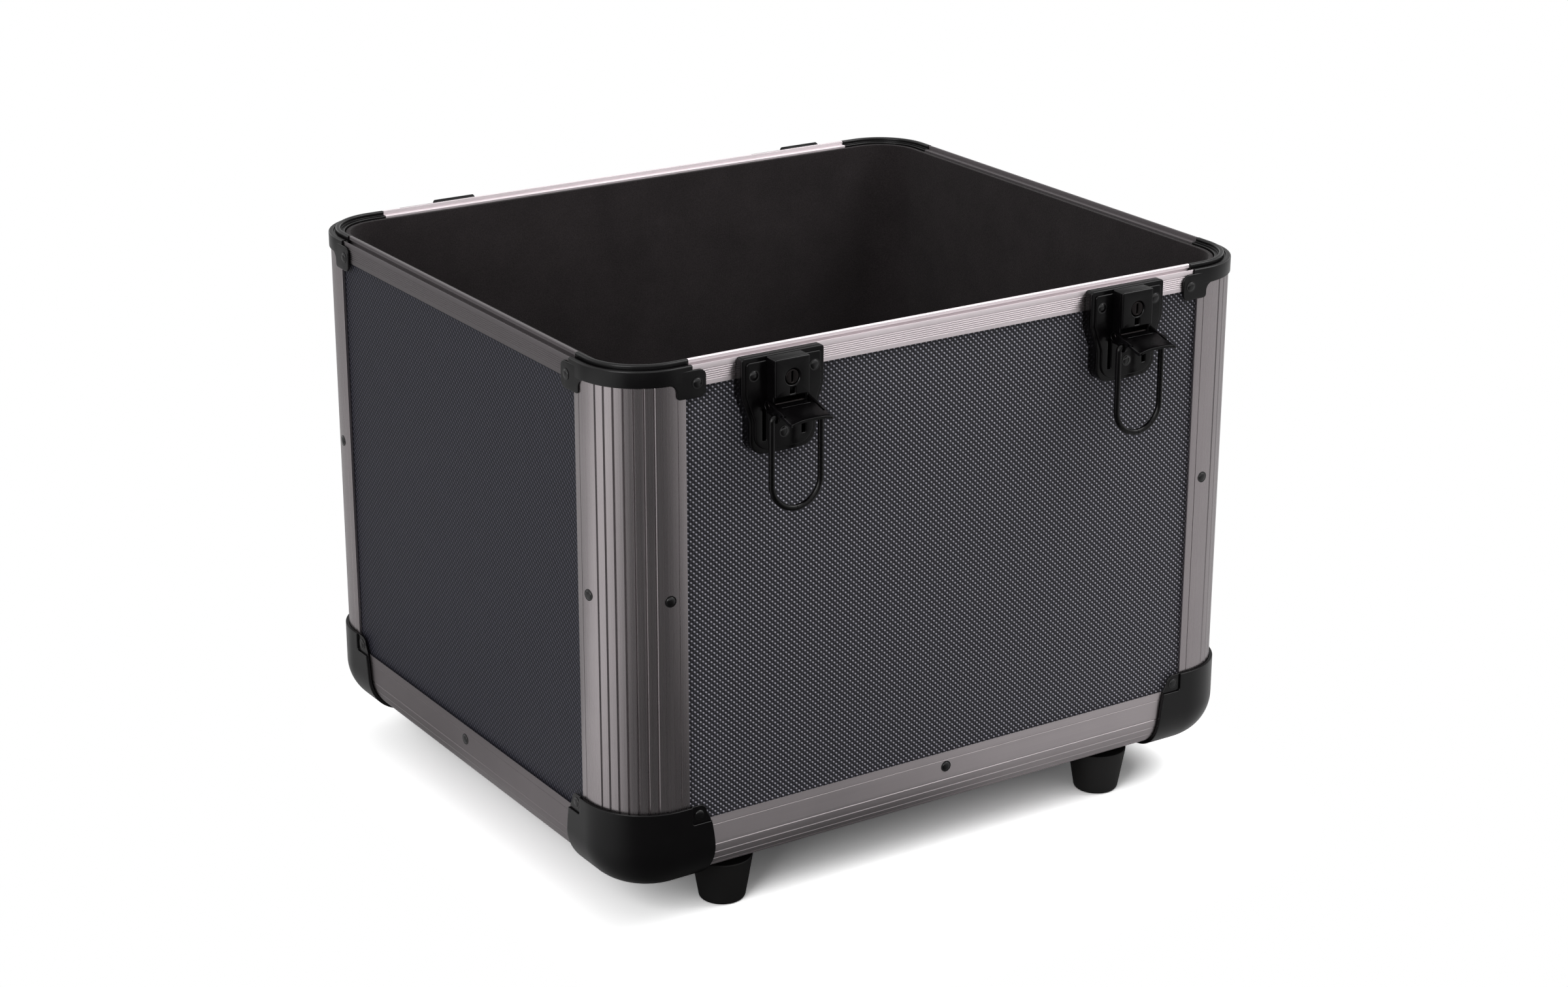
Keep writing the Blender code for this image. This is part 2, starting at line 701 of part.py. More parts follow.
def build_corner_pieces(builder, materials):
    """Posts, top corners and bottom corners, each drawn once and used at four corners."""
    post_mesh = prism("corner_post", post_outline(), EDGE_TOP + CLEARANCE, POST_TOP, "z")
    cap_mesh = sweep("top_corner", cap_section(), corner_path(CAP_END))
    tab_mesh = prism("top_corner_tab", [tab_outline()], -TAB_PROUD, -CLEARANCE, "y")
    other_tab = across_diagonal(tab_mesh)
    leg_end = WING_EDGE + WING_BOW + OVERRUN / 2
    ball_mesh = sweep("bottom_corner", ball_section(), corner_path(leg_end))
    trim = prism("bottom_corner_trim", [wing_trim()], -BALL_PROUD - OVERRUN, leg_end, "y")
    other_trim = across_diagonal(trim)
    recess = prism(
        "bottom_corner_recess", [ear_recess()], -BALL_PROUD - OVERRUN, -BALL_PROUD + EAR_DEPTH, "y"
    )
    other_recess = across_diagonal(recess)
    for corner, name in zip(builder.corners, CORNERS):
        builder.piece("corner_post_" + name, post_mesh, materials["aluminium"], corner)
        cap = builder.piece("top_corner_" + name, cap_mesh, materials["corner"], corner)
        builder.join(cap, tab_mesh)
        builder.join(cap, other_tab)
        ball = builder.piece("bottom_corner_" + name, ball_mesh, materials["corner"], corner)
        builder.cut(ball, trim)
        builder.cut(ball, other_trim)
        builder.cut(ball, recess)
        builder.cut(ball, other_recess)


def build_side_pieces(builder, materials):
    """Panels, rims and bottom edges, whose lengths follow their sides."""
    for side, name, length in zip(builder.sides, SIDES, SIDE_LENGTHS):
        half = length / 2
        panel_half = half - POST_SLOT - CLEARANCE
        panel = block(
            "panel",
            (-panel_half, BOARD_OUTER, GROUND_CLEARANCE + EDGE_SLOT + CLEARANCE),
            (panel_half, BOARD_INNER, RIM_SLOT_TOP - CLEARANCE),
        )
        rim = prism("top_rim", rim_outline(), RIM_START - half, half - RIM_START, "x")
        edge = prism("bottom_edge", bottom_edge_outline(), EDGE_START - half, half - EDGE_START, "x")
        builder.piece("panel_" + name, panel, materials["board"], side)
        builder.piece("top_rim_" + name, rim, materials["aluminium"], side)
        builder.piece("bottom_edge_" + name, edge, materials["aluminium"], side)


def rounded_rectangle(half_x, half_y, radius):
    """Plan outline of a rectangle with round corners, run anticlockwise."""
    points = []
    for index, (x, y) in enumerate(((1, 1), (-1, 1), (-1, -1), (1, -1))):
        centre = (x * (half_x - radius), y * (half_y - radius))
        points.extend(arc(centre, radius, index * QUARTER, (index + 1) * QUARTER, CORNER_STEPS))
    return points


def build_inside(builder, materials):
    """Floor board, wall lining with its cove, and floor lining."""
    base = GROUND_CLEARANCE
    half_x = CASE_WIDTH / 2
    half_y = CASE_DEPTH / 2
    inset = EDGE_SLOT + CLEARANCE
    board = block(
        "floor_board",
        (inset - half_x, inset - half_y, base + BOARD_OUTER),
        (half_x - inset, half_y - inset, base + BOARD_INNER),
    )
    builder.piece("floor_board", board, materials["board"], builder.centre)
    top = SHOULDER_HEIGHT - LINING_DROP
    centre = (-EDGE_RADIUS, base + EDGE_RADIUS)
    cove_end = EDGE_RADIUS + LINING
    steps = CORNER_STEPS // 2
    section = [
        (-LINING_OUTER, top),
        *arc(centre, EDGE_RADIUS - LINING_OUTER, 0.0, -QUARTER, steps),
        (-cove_end, base + LINING_OUTER),
        (-cove_end, base + LINING_INNER),
        *arc(centre, EDGE_RADIUS - LINING_INNER, -QUARTER, 0.0, steps),
        (-LINING_INNER, top),
    ]
    path = rounded_rectangle(half_x, half_y, CORNER_RADIUS)
    wall = sweep("wall_lining", section, path, closed=True)
    builder.piece("wall_lining", wall, materials["lining"], builder.centre)
    edge = cove_end + CLEARANCE
    outline = rounded_rectangle(half_x - edge, half_y - edge, CORNER_RADIUS - edge)
    floor = prism("floor_lining", [outline], base + LINING_OUTER, base + LINING_INNER, "z")
    builder.piece("floor_lining", floor, materials["lining"], builder.centre)


def build_feet(builder, materials):
    """Four turned rubber feet with a sunk screw seat."""
    top = GROUND_CLEARANCE - CLEARANCE
    slope = math.atan2(FOOT_TOP_RADIUS - FOOT_BOTTOM_RADIUS, top)
    rounding_centre = (FOOT_BOTTOM_RADIUS - FOOT_ROUNDING, FOOT_ROUNDING)
    profile = [(0.0, top), (FOOT_TOP_RADIUS, top)]
    profile.extend(arc(rounding_centre, FOOT_ROUNDING, -slope, -QUARTER, FILLET_STEPS - 1))
    profile.append((FOOT_BORE_RADIUS, 0.0))
    profile.append((FOOT_BORE_RADIUS, FOOT_BORE_DEPTH))
    profile.append((0.0, FOOT_BORE_DEPTH))
    mesh = bpy.data.meshes.new("foot")
    points = [(x, 0.0, z) for x, z in profile]
    edges = [(index, index + 1) for index in range(len(points) - 1)]
    mesh.from_pydata(points, edges, [])
    for row, y in (("front", -1), ("back", 1)):
        for column, x in (("left", -1), ("right", 1)):
            place = (x * (CASE_WIDTH / 2 - FOOT_INSET_X), y * (CASE_DEPTH / 2 - FOOT_INSET_Y), 0.0)
            name = "foot_" + row + "_" + column
            foot = builder.piece(name, mesh, materials["rubber"], builder.centre, place)
            turn = foot.modifiers.new("turned", "SCREW")
            turn.steps = ROUND_STEPS
            turn.render_steps = ROUND_STEPS
            turn.use_merge_vertices = True
            turn.merge_threshold = WELD


def plate_outline(inset):
    """Face view of a latch plate, or of its hollow when inset by the wall."""
    top = SHOULDER_HEIGHT - inset
    wide = PLATE_HALF_WIDTH - inset
    narrow = PLATE_LOWER_HALF_WIDTH - inset
    bottom = SHOULDER_HEIGHT - PLATE_HEIGHT + inset
    step_top = SHOULDER_HEIGHT - PLATE_STEP_TOP
    step_bottom = SHOULDER_HEIGHT - PLATE_STEP_BOTTOM
    middle = ((wide + narrow) / 2, (step_top + step_bottom) / 2)
    half = [(0.0, bottom - PLATE_BOTTOM_BOW), (narrow, bottom)]
    half.append((narrow, step_bottom))
    half.append(middle)
    half.append((wide, step_top))
    half.append((wide, top))
    step = (step_top - step_bottom) / 2
    radii = [0.0, max(PLATE_BOTTOM_CORNER - inset, 0.0), step, 0.0, step, PLATE_TOP_CORNER]
    right = rounded([*half, (0.0, top)], [*radii, 0.0])
    return right[:-1] + mirrored(right[1:-1])


def build_latch_plate(builder, materials, latch, name):
    """Pressed plate with its lock box; y is negative outside the case."""
    back = BOARD_OUTER - CLEARANCE
    top = SHOULDER_HEIGHT
    plate = builder.piece(
        "latch_plate_" + name,
        prism("latch_plate", [plate_outline(0.0)], -PLATE_STAND, back, "y"),
        materials["latch"],
        latch,
    )
    wall = PLATE_WALL
    builder.cut(plate, block(
        "rim_seat",
        (-PLATE_HALF_WIDTH - OVERRUN, -CLEARANCE, RIM_BOTTOM - CLEARANCE),
        (PLATE_HALF_WIDTH + OVERRUN, back + OVERRUN, top + OVERRUN),
    ))
    hollow = prism("plate_hollow", [plate_outline(wall)], wall - PLATE_STAND, back + OVERRUN, "y")
    builder.cut(plate, hollow)
    box_top = top - BOX_TOP_DROP
    box_low = top - BOX_FRONT_DROP
    cheek_low = top - CHEEK_DROP
    seat = wall / 2 - PLATE_STAND
    box_side = [
        (seat, cheek_low),
        (seat, box_top),
        (-BOX_PROUD, box_top - BOX_TOP_SLOPE),
        (-BOX_PROUD, box_low),
        (CHEEK_SETBACK - BOX_PROUD, box_low),
        (CHEEK_SETBACK - BOX_PROUD, cheek_low),
    ]
    box_radii = [0.0, 0.0, wall, 0.0, 0.0, wall]
    box = prism("lock_box", [rounded(box_side, box_radii)], -BOX_HALF_WIDTH, BOX_HALF_WIDTH, "x")
    builder.join(plate, box)
    builder.cut(plate, block(
        "box_hollow",
        (wall - BOX_HALF_WIDTH, wall - BOX_PROUD, cheek_low - OVERRUN),
        (BOX_HALF_WIDTH - wall, -PLATE_STAND - CLEARANCE, box_top - BOX_TOP_SLOPE - wall),
    ))
    hole = BARREL_RADIUS + CLEARANCE
    keyhole = (0.0, top - KEYHOLE_DROP)
    builder.cut(plate, rod("keyhole", keyhole, hole, -BOX_PROUD - OVERRUN, wall - BOX_PROUD + OVERRUN / 2))
    notch = top - NOTCH_DROP
    builder.cut(plate, block(
        "notch",
        (-NOTCH_WIDTH / 2, -BOX_PROUD - OVERRUN, notch - NOTCH_HEIGHT / 2),
        (NOTCH_WIDTH / 2, wall - BOX_PROUD + OVERRUN, notch + NOTCH_HEIGHT / 2),
    ))
    pin_hole = [circle((-PIVOT_STAND, PIVOT_HEIGHT), PIN_RADIUS + CLEARANCE, SMALL_STEPS)]
    builder.cut(plate, prism(
        "pin_hole", pin_hole, -BOX_HALF_WIDTH - OVERRUN / 3, BOX_HALF_WIDTH + OVERRUN / 3, "x"
    ))
    slot_inner = LEVER_EAR_INNER - SLOT_MARGIN
    slot_outer = LEVER_EAR_OUTER + SLOT_MARGIN
    for sign in (-1, 1):
        ends = sorted((sign * slot_inner, sign * slot_outer))
        builder.cut(plate, block(
            "ear_slot",
            (ends[0], -PLATE_STAND - OVERRUN / 2, top - SLOT_DROP),
            (ends[1], wall - PLATE_STAND + OVERRUN, top - SLOT_RISE),
        ))


def lever_side_outline():
    """Side view of a lever cheek about its pivot, as (y, z), with the bail's eye."""
    eye = (-BAIL_FORWARD, -BAIL_BELOW)
    tip = PIVOT_STAND - LEVER_REACH
    top_back = (0.0, EAR_BOSS)
    shoulder = (-(BAIL_FORWARD + BAIL_EYE), TONGUE_TOP)
    front = (tip / 2 - BAIL_EYE, -TONGUE_TOP)
    boss = arc((0.0, 0.0), EAR_BOSS, QUARTER, -QUARTER, SMALL_STEPS // 2)
    dip_middle = (eye[0] / 2, (eye[1] - EAR_BOSS - BAIL_EYE) / 2 + NECK_DIP)
    bottom = arc(eye, BAIL_EYE, -QUARTER / 2, -2 * QUARTER, SMALL_STEPS // 2)
    return [top_back, *boss[1:], dip_middle, *bottom, front, shoulder]


def build_lever(builder, materials, carrier, name):
    """Pressed lever: two cheeks outside the lock box, joined by the finger tongue."""
    outer = LEVER_EAR_OUTER
    inner = LEVER_EAR_INNER
    tip = PIVOT_STAND - LEVER_REACH
    lever = builder.piece(
        "latch_lever_" + name,
        prism("latch_lever", [lever_side_outline()], -outer, -inner, "x"),
        materials["latch"],
        carrier,
    )
    front = -TONGUE_START
    flat_top = TONGUE_TOP
    sheet = TONGUE_SHEET
    tongue = [
        (front, flat_top),
        (tip + TONGUE_LIP, flat_top - TONGUE_TIP_DROP),
        (tip, flat_top - TONGUE_TIP_DROP + sheet / 2),
        (tip, flat_top - TONGUE_TIP_DROP - sheet / 2),
        (tip + TONGUE_LIP, flat_top - TONGUE_TIP_DROP - sheet),
        (front, flat_top - sheet),
    ]
    builder.join(lever, prism("lever_tongue", [tongue], -outer, outer, "x"))
    builder.join(lever, prism("lever_cheek", [lever_side_outline()], inner, outer, "x"))
    neck_half = BOX_HALF_WIDTH - PLATE_WALL - LEVER_NECK_GAP
    neck_back = -LEVER_BACK
    neck = [
        (neck_back, flat_top),
        (front - sheet, flat_top),
        (front - sheet, flat_top - sheet),
        (neck_back, flat_top - sheet),
    ]
    builder.join(lever, prism("lever_neck", [neck], -neck_half, neck_half, "x"))
    overrun = outer + OVERRUN / 3
    pin_hole = [circle((0.0, 0.0), PIN_RADIUS + CLEARANCE, SMALL_STEPS)]
    eye_hole = [circle((-BAIL_FORWARD, -BAIL_BELOW), BAIL_WIRE + CLEARANCE, SMALL_STEPS)]
    for sign in (-1, 1):
        ends = sorted((sign * overrun, sign * (inner - EAR_GAP / 2)))
        builder.cut(lever, prism("lever_pin_hole", pin_hole, *ends, "x"))
        builder.cut(lever, prism("lever_eye_hole", eye_hole, *ends, "x"))


def bail_points():
    """Centre line of the wire bail about its own pivot, hanging down."""
    half = BAIL_HALF_WIDTH
    start = LEVER_EAR_INNER - EAR_GAP / 3
    bend = BAIL_BEND
    drop = BAIL_DROP
    centre = (half - bend, -bend)
    right = [(start, 0.0), *arc(centre, bend, QUARTER, 0.0, 3)]
    loop = arc((0.0, half - drop), half, 0.0, -QUARTER, CORNER_STEPS - 2)
    half_path = [*right, *loop]
    flat = half_path[:-1] + mirrored(half_path)
    return [(x, 0.0, z) for x, z in flat]


def build_latch(builder, materials, name, x):
    """One latch on the front: plate, lever on its pin, bail and lock barrel."""
    latch = builder.empty("latch_" + name, (x, 0.0, 0.0), 0.0, builder.sides[0])
    build_latch_plate(builder, materials, latch, name)
    pivot = builder.empty("lever_axis_" + name, (0.0, -PIVOT_STAND, PIVOT_HEIGHT), 0.0, latch)
    build_lever(builder, materials, pivot, name)
    pin_end = LEVER_EAR_OUTER - CLEARANCE
    pin = prism("lever_pin", [circle((0.0, 0.0), PIN_RADIUS, SMALL_STEPS)], -pin_end, pin_end, "x")
    builder.piece("lever_pin_" + name, pin, materials["pin"], latch, (0.0, -PIVOT_STAND, PIVOT_HEIGHT))
    bail = wire("latch_bail", bail_points(), BAIL_WIRE)
    builder.piece("latch_bail_" + name, bail, materials["latch"], pivot, (0.0, -BAIL_FORWARD, -BAIL_BELOW))
    front = BARREL_RECESS - BOX_PROUD
    back = -PLATE_STAND - 2 * CLEARANCE
    barrel_mesh = rod("lock_barrel", (0.0, 0.0), BARREL_RADIUS, front, back)
    place = (0.0, 0.0, SHOULDER_HEIGHT - KEYHOLE_DROP)
    barrel = builder.piece("lock_barrel_" + name, barrel_mesh, materials["pin"], latch, place)
    slot_half = BARREL_RADIUS * BARREL_SLOT_SHARE
    builder.cut(barrel, block(
        "key_slot",
        (-BARREL_SLOT / 2, front - OVERRUN, -slot_half),
        (BARREL_SLOT / 2, front + BARREL_SLOT_DEPTH, slot_half),
    ))


def hinge_outline():
    """Side view of a hinge leaf on the back, as (y, z): it steps in below the rim."""
    top = SHOULDER_HEIGHT - HINGE_DROP
    low = top - HINGE_LEAF_HEIGHT
    seat = -CLEARANCE
    lower_seat = BOARD_OUTER - CLEARANCE
    leaf = HINGE_LEAF
    step_top = RIM_BOTTOM - CLEARANCE
    step_low = step_top - (lower_seat - seat)
    centre = (seat - CLEARANCE - HINGE_KNUCKLE, top - CLEARANCE)
    ring = arc(centre, HINGE_KNUCKLE, QUARTER, 3 * QUARTER, SMALL_STEPS // 2)
    return [
        (lower_seat, low),
        (lower_seat, step_low),
        (seat, step_top),
        (seat, centre[1] + HINGE_KNUCKLE),
        *ring,
        (seat - leaf, centre[1] - HINGE_KNUCKLE),
        (seat - leaf, step_top - leaf),
        (lower_seat - leaf, step_low - leaf / 2),
        (lower_seat - leaf, low),
    ], centre


def build_hinges(builder, materials):
    """The body's halves of two lift-off hinges, on the back."""
    outline, centre = hinge_outline()
    half = HINGE_WIDTH / 2
    for name, sign in (("left", 1), ("right", -1)):
        place = (sign * (CASE_WIDTH / 2 - HINGE_INSET), 0.0, 0.0)
        mesh = prism("hinge_leaf", [outline], -half, half, "x")
        leaf = builder.piece("hinge_leaf_" + name, mesh, materials["latch"], builder.sides[2], place)
        seat = -CLEARANCE - HINGE_LEAF
        builder.cut(leaf, block(
            "knuckle_gap",
            (CLEARANCE, centre[0] - HINGE_KNUCKLE - OVERRUN, centre[1] - HINGE_KNUCKLE - OVERRUN),
            (half + OVERRUN, seat, centre[1] + HINGE_KNUCKLE + OVERRUN),
        ))
        bore = [circle(centre, HINGE_PIN + CLEARANCE, SMALL_STEPS)]
        builder.cut(leaf, prism("pin_bore", bore, -half - OVERRUN, half + OVERRUN, "x"))
        pin = prism("hinge_pin", [circle(centre, HINGE_PIN, SMALL_STEPS)], -half, half - HINGE_TIP, "x")
        builder.piece("hinge_pin_" + name, pin, materials["pin"], builder.sides[2], place)


def main():
    """Build the whole case."""
    clear_scene()
    builder = Builder()
    materials = {
        "aluminium": new_material("anodised_aluminium", (0.30, 0.28, 0.28), 1.0, 0.38),
        "board": new_material("laminated_board", (0.045, 0.048, 0.058), 0.0, 0.5),
        "corner": new_material("satin_black_corner", (0.012, 0.012, 0.012), 0.0, 0.42),
        "latch": new_material("black_steel_latch", (0.008, 0.008, 0.008), 0.2, 0.3),
        "pin": new_material("dark_steel_pin", (0.03, 0.03, 0.03), 0.9, 0.35),
        "rubber": new_material("black_rubber", (0.012, 0.012, 0.012), 0.0, 0.75),
        "lining": new_material("black_felt", (0.008, 0.008, 0.008), 0.0, 0.95),
    }
    build_corner_pieces(builder, materials)
    build_side_pieces(builder, materials)
    build_inside(builder, materials)
    build_feet(builder, materials)
    build_latch(builder, materials, "left", LATCH_INSET - CASE_WIDTH / 2)
    build_latch(builder, materials, "right", CASE_WIDTH / 2 - LATCH_INSET)
    build_hinges(builder, materials)


main()
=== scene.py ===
import math

import bmesh
import bpy
from mathutils import Matrix, Vector


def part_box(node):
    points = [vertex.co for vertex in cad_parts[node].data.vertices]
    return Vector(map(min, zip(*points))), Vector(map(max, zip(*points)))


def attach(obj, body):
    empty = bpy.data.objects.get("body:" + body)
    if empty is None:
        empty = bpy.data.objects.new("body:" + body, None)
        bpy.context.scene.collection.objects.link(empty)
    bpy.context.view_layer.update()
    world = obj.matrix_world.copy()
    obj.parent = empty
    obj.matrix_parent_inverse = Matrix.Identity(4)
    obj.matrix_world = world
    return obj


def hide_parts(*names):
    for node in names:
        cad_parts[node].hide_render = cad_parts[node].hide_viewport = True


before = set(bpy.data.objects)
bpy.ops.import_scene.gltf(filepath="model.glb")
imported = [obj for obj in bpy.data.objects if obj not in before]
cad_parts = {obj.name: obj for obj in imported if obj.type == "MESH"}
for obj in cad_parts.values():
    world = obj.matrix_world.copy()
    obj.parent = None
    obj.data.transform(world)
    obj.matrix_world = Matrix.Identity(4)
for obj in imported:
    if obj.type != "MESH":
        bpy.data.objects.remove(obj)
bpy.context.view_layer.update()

bl_info = {
    "name": "Record carrying case",
    "version": (1, 0, 0),
    "blender": (4, 5, 0),
    "location": "3D View > Sidebar > Record case",
    "description": "Dresses the frame of an open record carrying case",
    "category": "Object",
}

# Each side is drawn in its own frame: x along the side, y inward from the outer face, z up.
# Each corner is drawn in the frame of the sharp corner that its rounding cuts off.
# A point on the outer skin of a corner is also given by (s, out, z): s runs round the corner
# from its middle, and out is how far the point stands off the outer face.

MM = 0.001
QUARTER = math.pi / 2
SIDES = ("front", "right", "back", "left")
CORNERS = ("front_left", "front_right", "back_right", "back_left")
PAIR = (("left", -1), ("right", 1))
NEAR_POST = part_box("corner_post_front_left")
FAR_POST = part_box("corner_post_back_right")
CASE_WIDTH = (FAR_POST[1].x - NEAR_POST[0].x) / MM
CASE_DEPTH = (FAR_POST[1].y - NEAR_POST[0].y) / MM
CENTRE_Y = (FAR_POST[1].y + NEAR_POST[0].y) / 2
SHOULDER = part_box("latch_plate_left")[1].z / MM
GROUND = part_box("bottom_edge_front")[0].z / MM


def linear(code):
    """Linear colour of an sRGB hex value."""
    channels = [int(code[index:index + 2], 16) / 255 for index in (1, 3, 5)]
    return tuple(c / 12.92 if c <= 0.04045 else ((c + 0.055) / 1.055) ** 2.4 for c in channels) + (1.0,)


def length(name, description, millimetres):
    """A length that the user can change."""
    return bpy.props.FloatProperty(
        name=name, description=description, default=millimetres * MM, unit="LENGTH", precision=5
    )


def angle(name, description, degrees):
    """An angle that the user can change."""
    return bpy.props.FloatProperty(
        name=name, description=description, default=math.radians(degrees), subtype="ANGLE"
    )


def count(name, description, number):
    """A number of like things that the user can change."""
    return bpy.props.IntProperty(name=name, description=description, default=number, min=1)


def tint(name, description, code):
    """A colour that the user can change."""
    return bpy.props.FloatVectorProperty(
        name=name, description=description, default=linear(code), size=4, min=0, max=1, subtype="COLOR"
    )


def amount(name, description, value):
    """A plain number that the user can change."""
    return bpy.props.FloatProperty(name=name, description=description, default=value, subtype="FACTOR")


class CaseSizes(bpy.types.PropertyGroup):
    """Sizes of the case as a whole."""

    width: length("Width", "Across the two side walls", CASE_WIDTH)
    depth: length("Depth", "From the front face to the back face", CASE_DEPTH)
    shoulder: length("Shoulder", "Height of the rim's shoulder", SHOULDER)
    ground: length("Ground clearance", "Height of the underside", GROUND)
    radius: length("Corner radius", "Rounding of the upright corners", 31.4)
    skin: length("Skin", "Thickness of the aluminium", 1.5)
    slot: length("Board slot", "Width of the slot that holds the board", 4.4)
    gap: length("Gap", "Space between neighbouring pieces", 0.3)

    @property
    def inner(self):
        """Depth of an extrusion's inner skin under its outer face."""
        return self.skin + self.slot

    @property
    def wall(self):
        """Thickness of an extrusion round its board."""
        return self.inner + self.skin


class ExtrusionSizes(bpy.types.PropertyGroup):
    """Sizes of the aluminium extrusions."""

    flange: length("Post flange", "Flat of a post beside its rounding", 5.1)
    post_drop: length("Post drop", "From the shoulder down to the post's end", 8.0)
    flutes: count("Flutes", "Grooves round each post", 7)
    flute_pitch: angle("Flute pitch", "Turn from one flute to the next", 8.6)
    flute_width: length("Flute width", "Width of a flute", 1.1)
    flute_depth: length("Flute depth", "Depth of a flute", 0.5)
    line_setback: length("Line setback", "From a flange's edge to its fine line", 4.2)
    line_width: length("Line width", "Width of a fine line", 0.4)
    line_depth: length("Line depth", "Depth of a fine line", 0.3)
    rim_height: length("Rim height", "Height of the top rim's face", 10.3)
    ridges: count("Ridges", "Grooves along the top rim", 6)
    ridge_pitch: length("Ridge pitch", "From one groove of the rim to the next", 1.0)
    ridge_depth: length("Ridge depth", "Depth of the rim's grooves", 0.3)
    channel: length("Channel", "Height of the channel that holds the board in a rim", 5.7)
    lip: length("Lip", "Width of the rim's outer lip", 1.2)
    groove: length("Groove", "Width of the lid's groove", 1.9)
    tongue: length("Tongue", "Width of the lid's tongue", 1.6)
    rise: length("Tongue rise", "Height of the tongue over the shoulder", 2.0)
    edge_radius: length("Edge radius", "Rounding of the bottom edge", 21.4)
    edge_reach: length("Edge reach", "Width of each leg of the bottom edge", 33.8)
    edge_lines: count("Edge lines", "Grooves round the bottom edge", 4)
    edge_first: angle("First edge line", "Turn from level to the first groove", 6.0)
    edge_pitch: angle("Edge line pitch", "Turn from one groove to the next", 13.0)
    edge_width: length("Edge line width", "Width of a groove of the bottom edge", 0.7)
    edge_depth: length("Edge line depth", "Depth of a groove of the bottom edge", 0.4)


class CornerSizes(bpy.types.PropertyGroup):
    """Sizes of the moulded corners."""

    cap_proud: length("Cap stand", "How far a top corner stands off the face", 0.9)
    cap_leg: length("Cap leg", "Straight length of a top corner past its rounding", 8.0)
    ridge: length("Cap ridge", "Width of the top corner's ridge", 2.6)
    tab_proud: length("Tab stand", "How far a tab stands off the face", 1.2)
    tab_length: length("Tab length", "Length of a tab", 15.0)
    tab_drop: length("Tab drop", "From the shoulder to the tab's lower edge", 15.0)
    ball_proud: length("Ball stand", "How far a bottom corner stands off the face", 1.9)
    ball_top: length("Ball top", "Height of a bottom corner over the bottom edge", 8.1)
    ball_under: length("Ball under", "Reach of a bottom corner under the case", 8.0)
    wing: length("Wing", "Length of a bottom corner's wing past the post", 10.8)
    wing_bow: length("Wing bow", "How far the wing's edge bows out", 2.2)
    ear: length("Ear", "Length of the riveted ear past the post", 8.8)
    ear_depth: length("Ear depth", "Depth of the rivet's seat in the ear", 1.0)
    foot_top: length("Foot top", "Radius of a foot at its top", 15.0)
    foot_bottom: length("Foot bottom", "Radius of a foot at the floor", 11.5)
    foot_span: length("Foot spacing", "Between the two front feet", 228.6)
    foot_depth: length("Foot depth", "From a front foot to the back one", 263.0)


class LatchSizes(bpy.types.PropertyGroup):
    """Sizes of the latches, hinges and small fasteners."""

    spacing: length("Latch spacing", "Between the middles of the two latches", 197.4)
    plate_half: length("Plate half width", "Half the plate's width at its top", 22.0)
    plate_low: length("Plate foot half width", "Half the plate's width at its foot", 17.7)
    plate_height: length("Plate height", "Height of the plate", 45.8)
    plate_stand: length("Plate stand", "How far the plate stands off the face", 6.0)
    box_half: length("Lock box half width", "Half the lock box's width", 9.3)
    box_stand: length("Lock box stand", "How far the lock box stands off the face", 13.0)
    box_drop: length("Lock box drop", "From the shoulder to the lock box's lower edge", 18.7)
    cheek_drop: length("Cheek drop", "From the shoulder to the foot of the cheeks", 26.9)
    key_drop: length("Keyhole drop", "From the shoulder to the lock barrel", 9.6)
    barrel: length("Barrel radius", "Radius of the lock barrel", 3.5)
    pivot_stand: length("Pivot stand", "From the face to the lever's pin", 9.0)
    pivot_drop: length("Pivot drop", "From the shoulder to the lever's pin", 22.7)
    reach: length("Lever reach", "From the face to the lever's tip", 30.0)
    wire: length("Wire radius", "Radius of the bail's wire", 1.45)
    loop: length("Bail drop", "From the bail's pivot to the foot of its loop", 44.7)
    rivet: length("Rivet radius", "Radius of a rivet's head", 2.8)
    hinge_span: length("Hinge spacing", "Between the middles of the two hinges", 218.0)
    hinge_width: length("Hinge width", "Width of a hinge leaf", 44.0)
    hinge_height: length("Hinge height", "Height of a hinge leaf", 36.0)


class Finishes(bpy.types.PropertyGroup):
    """Colours of the finishes."""

    upright: tint("Posts", "Satin anodised aluminium of the posts and bottom edges", "#aaa3a5")
    # The side edges and side rims are darker copies of the same aluminium: painted shade for walls that
    # catch less light.
    side_edge: tint("Side edges", "Bottom edges of the sides, which catch less light", "#7f797b")
    rim: tint("Rims", "Bright anodised aluminium of the front and back rims", "#cac1c4")
    side_rim: tint("Side rims", "Rims of the sides, which catch less light", "#6e696b")
    # The dots are pale partly as painted highlight; the side board and side dots are darker copies of the
    # same laminate, painted shade where light grazes the sides.
    board: tint("Board", "Ground of the laminate on the front and back", "#131318")
    dot: tint("Dots", "Raised dots of the laminate on the front and back", "#eae8f6")
    side_board: tint("Side board", "Ground of the laminate on the sides, where light grazes it", "#14151b")
    side_dot: tint("Side dots", "Raised dots of the laminate on the sides", "#504f5a")
    mould: tint("Corners", "Moulded corners", "#0a090a")
    enamel: tint("Latches", "Enamel of the latches", "#070607")
    rubber: tint("Feet", "Rubber of the feet", "#141313")
    felt: tint("Lining", "Felt of the lining", "#292526")
    barrel: tint("Barrel", "Dark steel of the lock barrels and pins", "#2a2727")


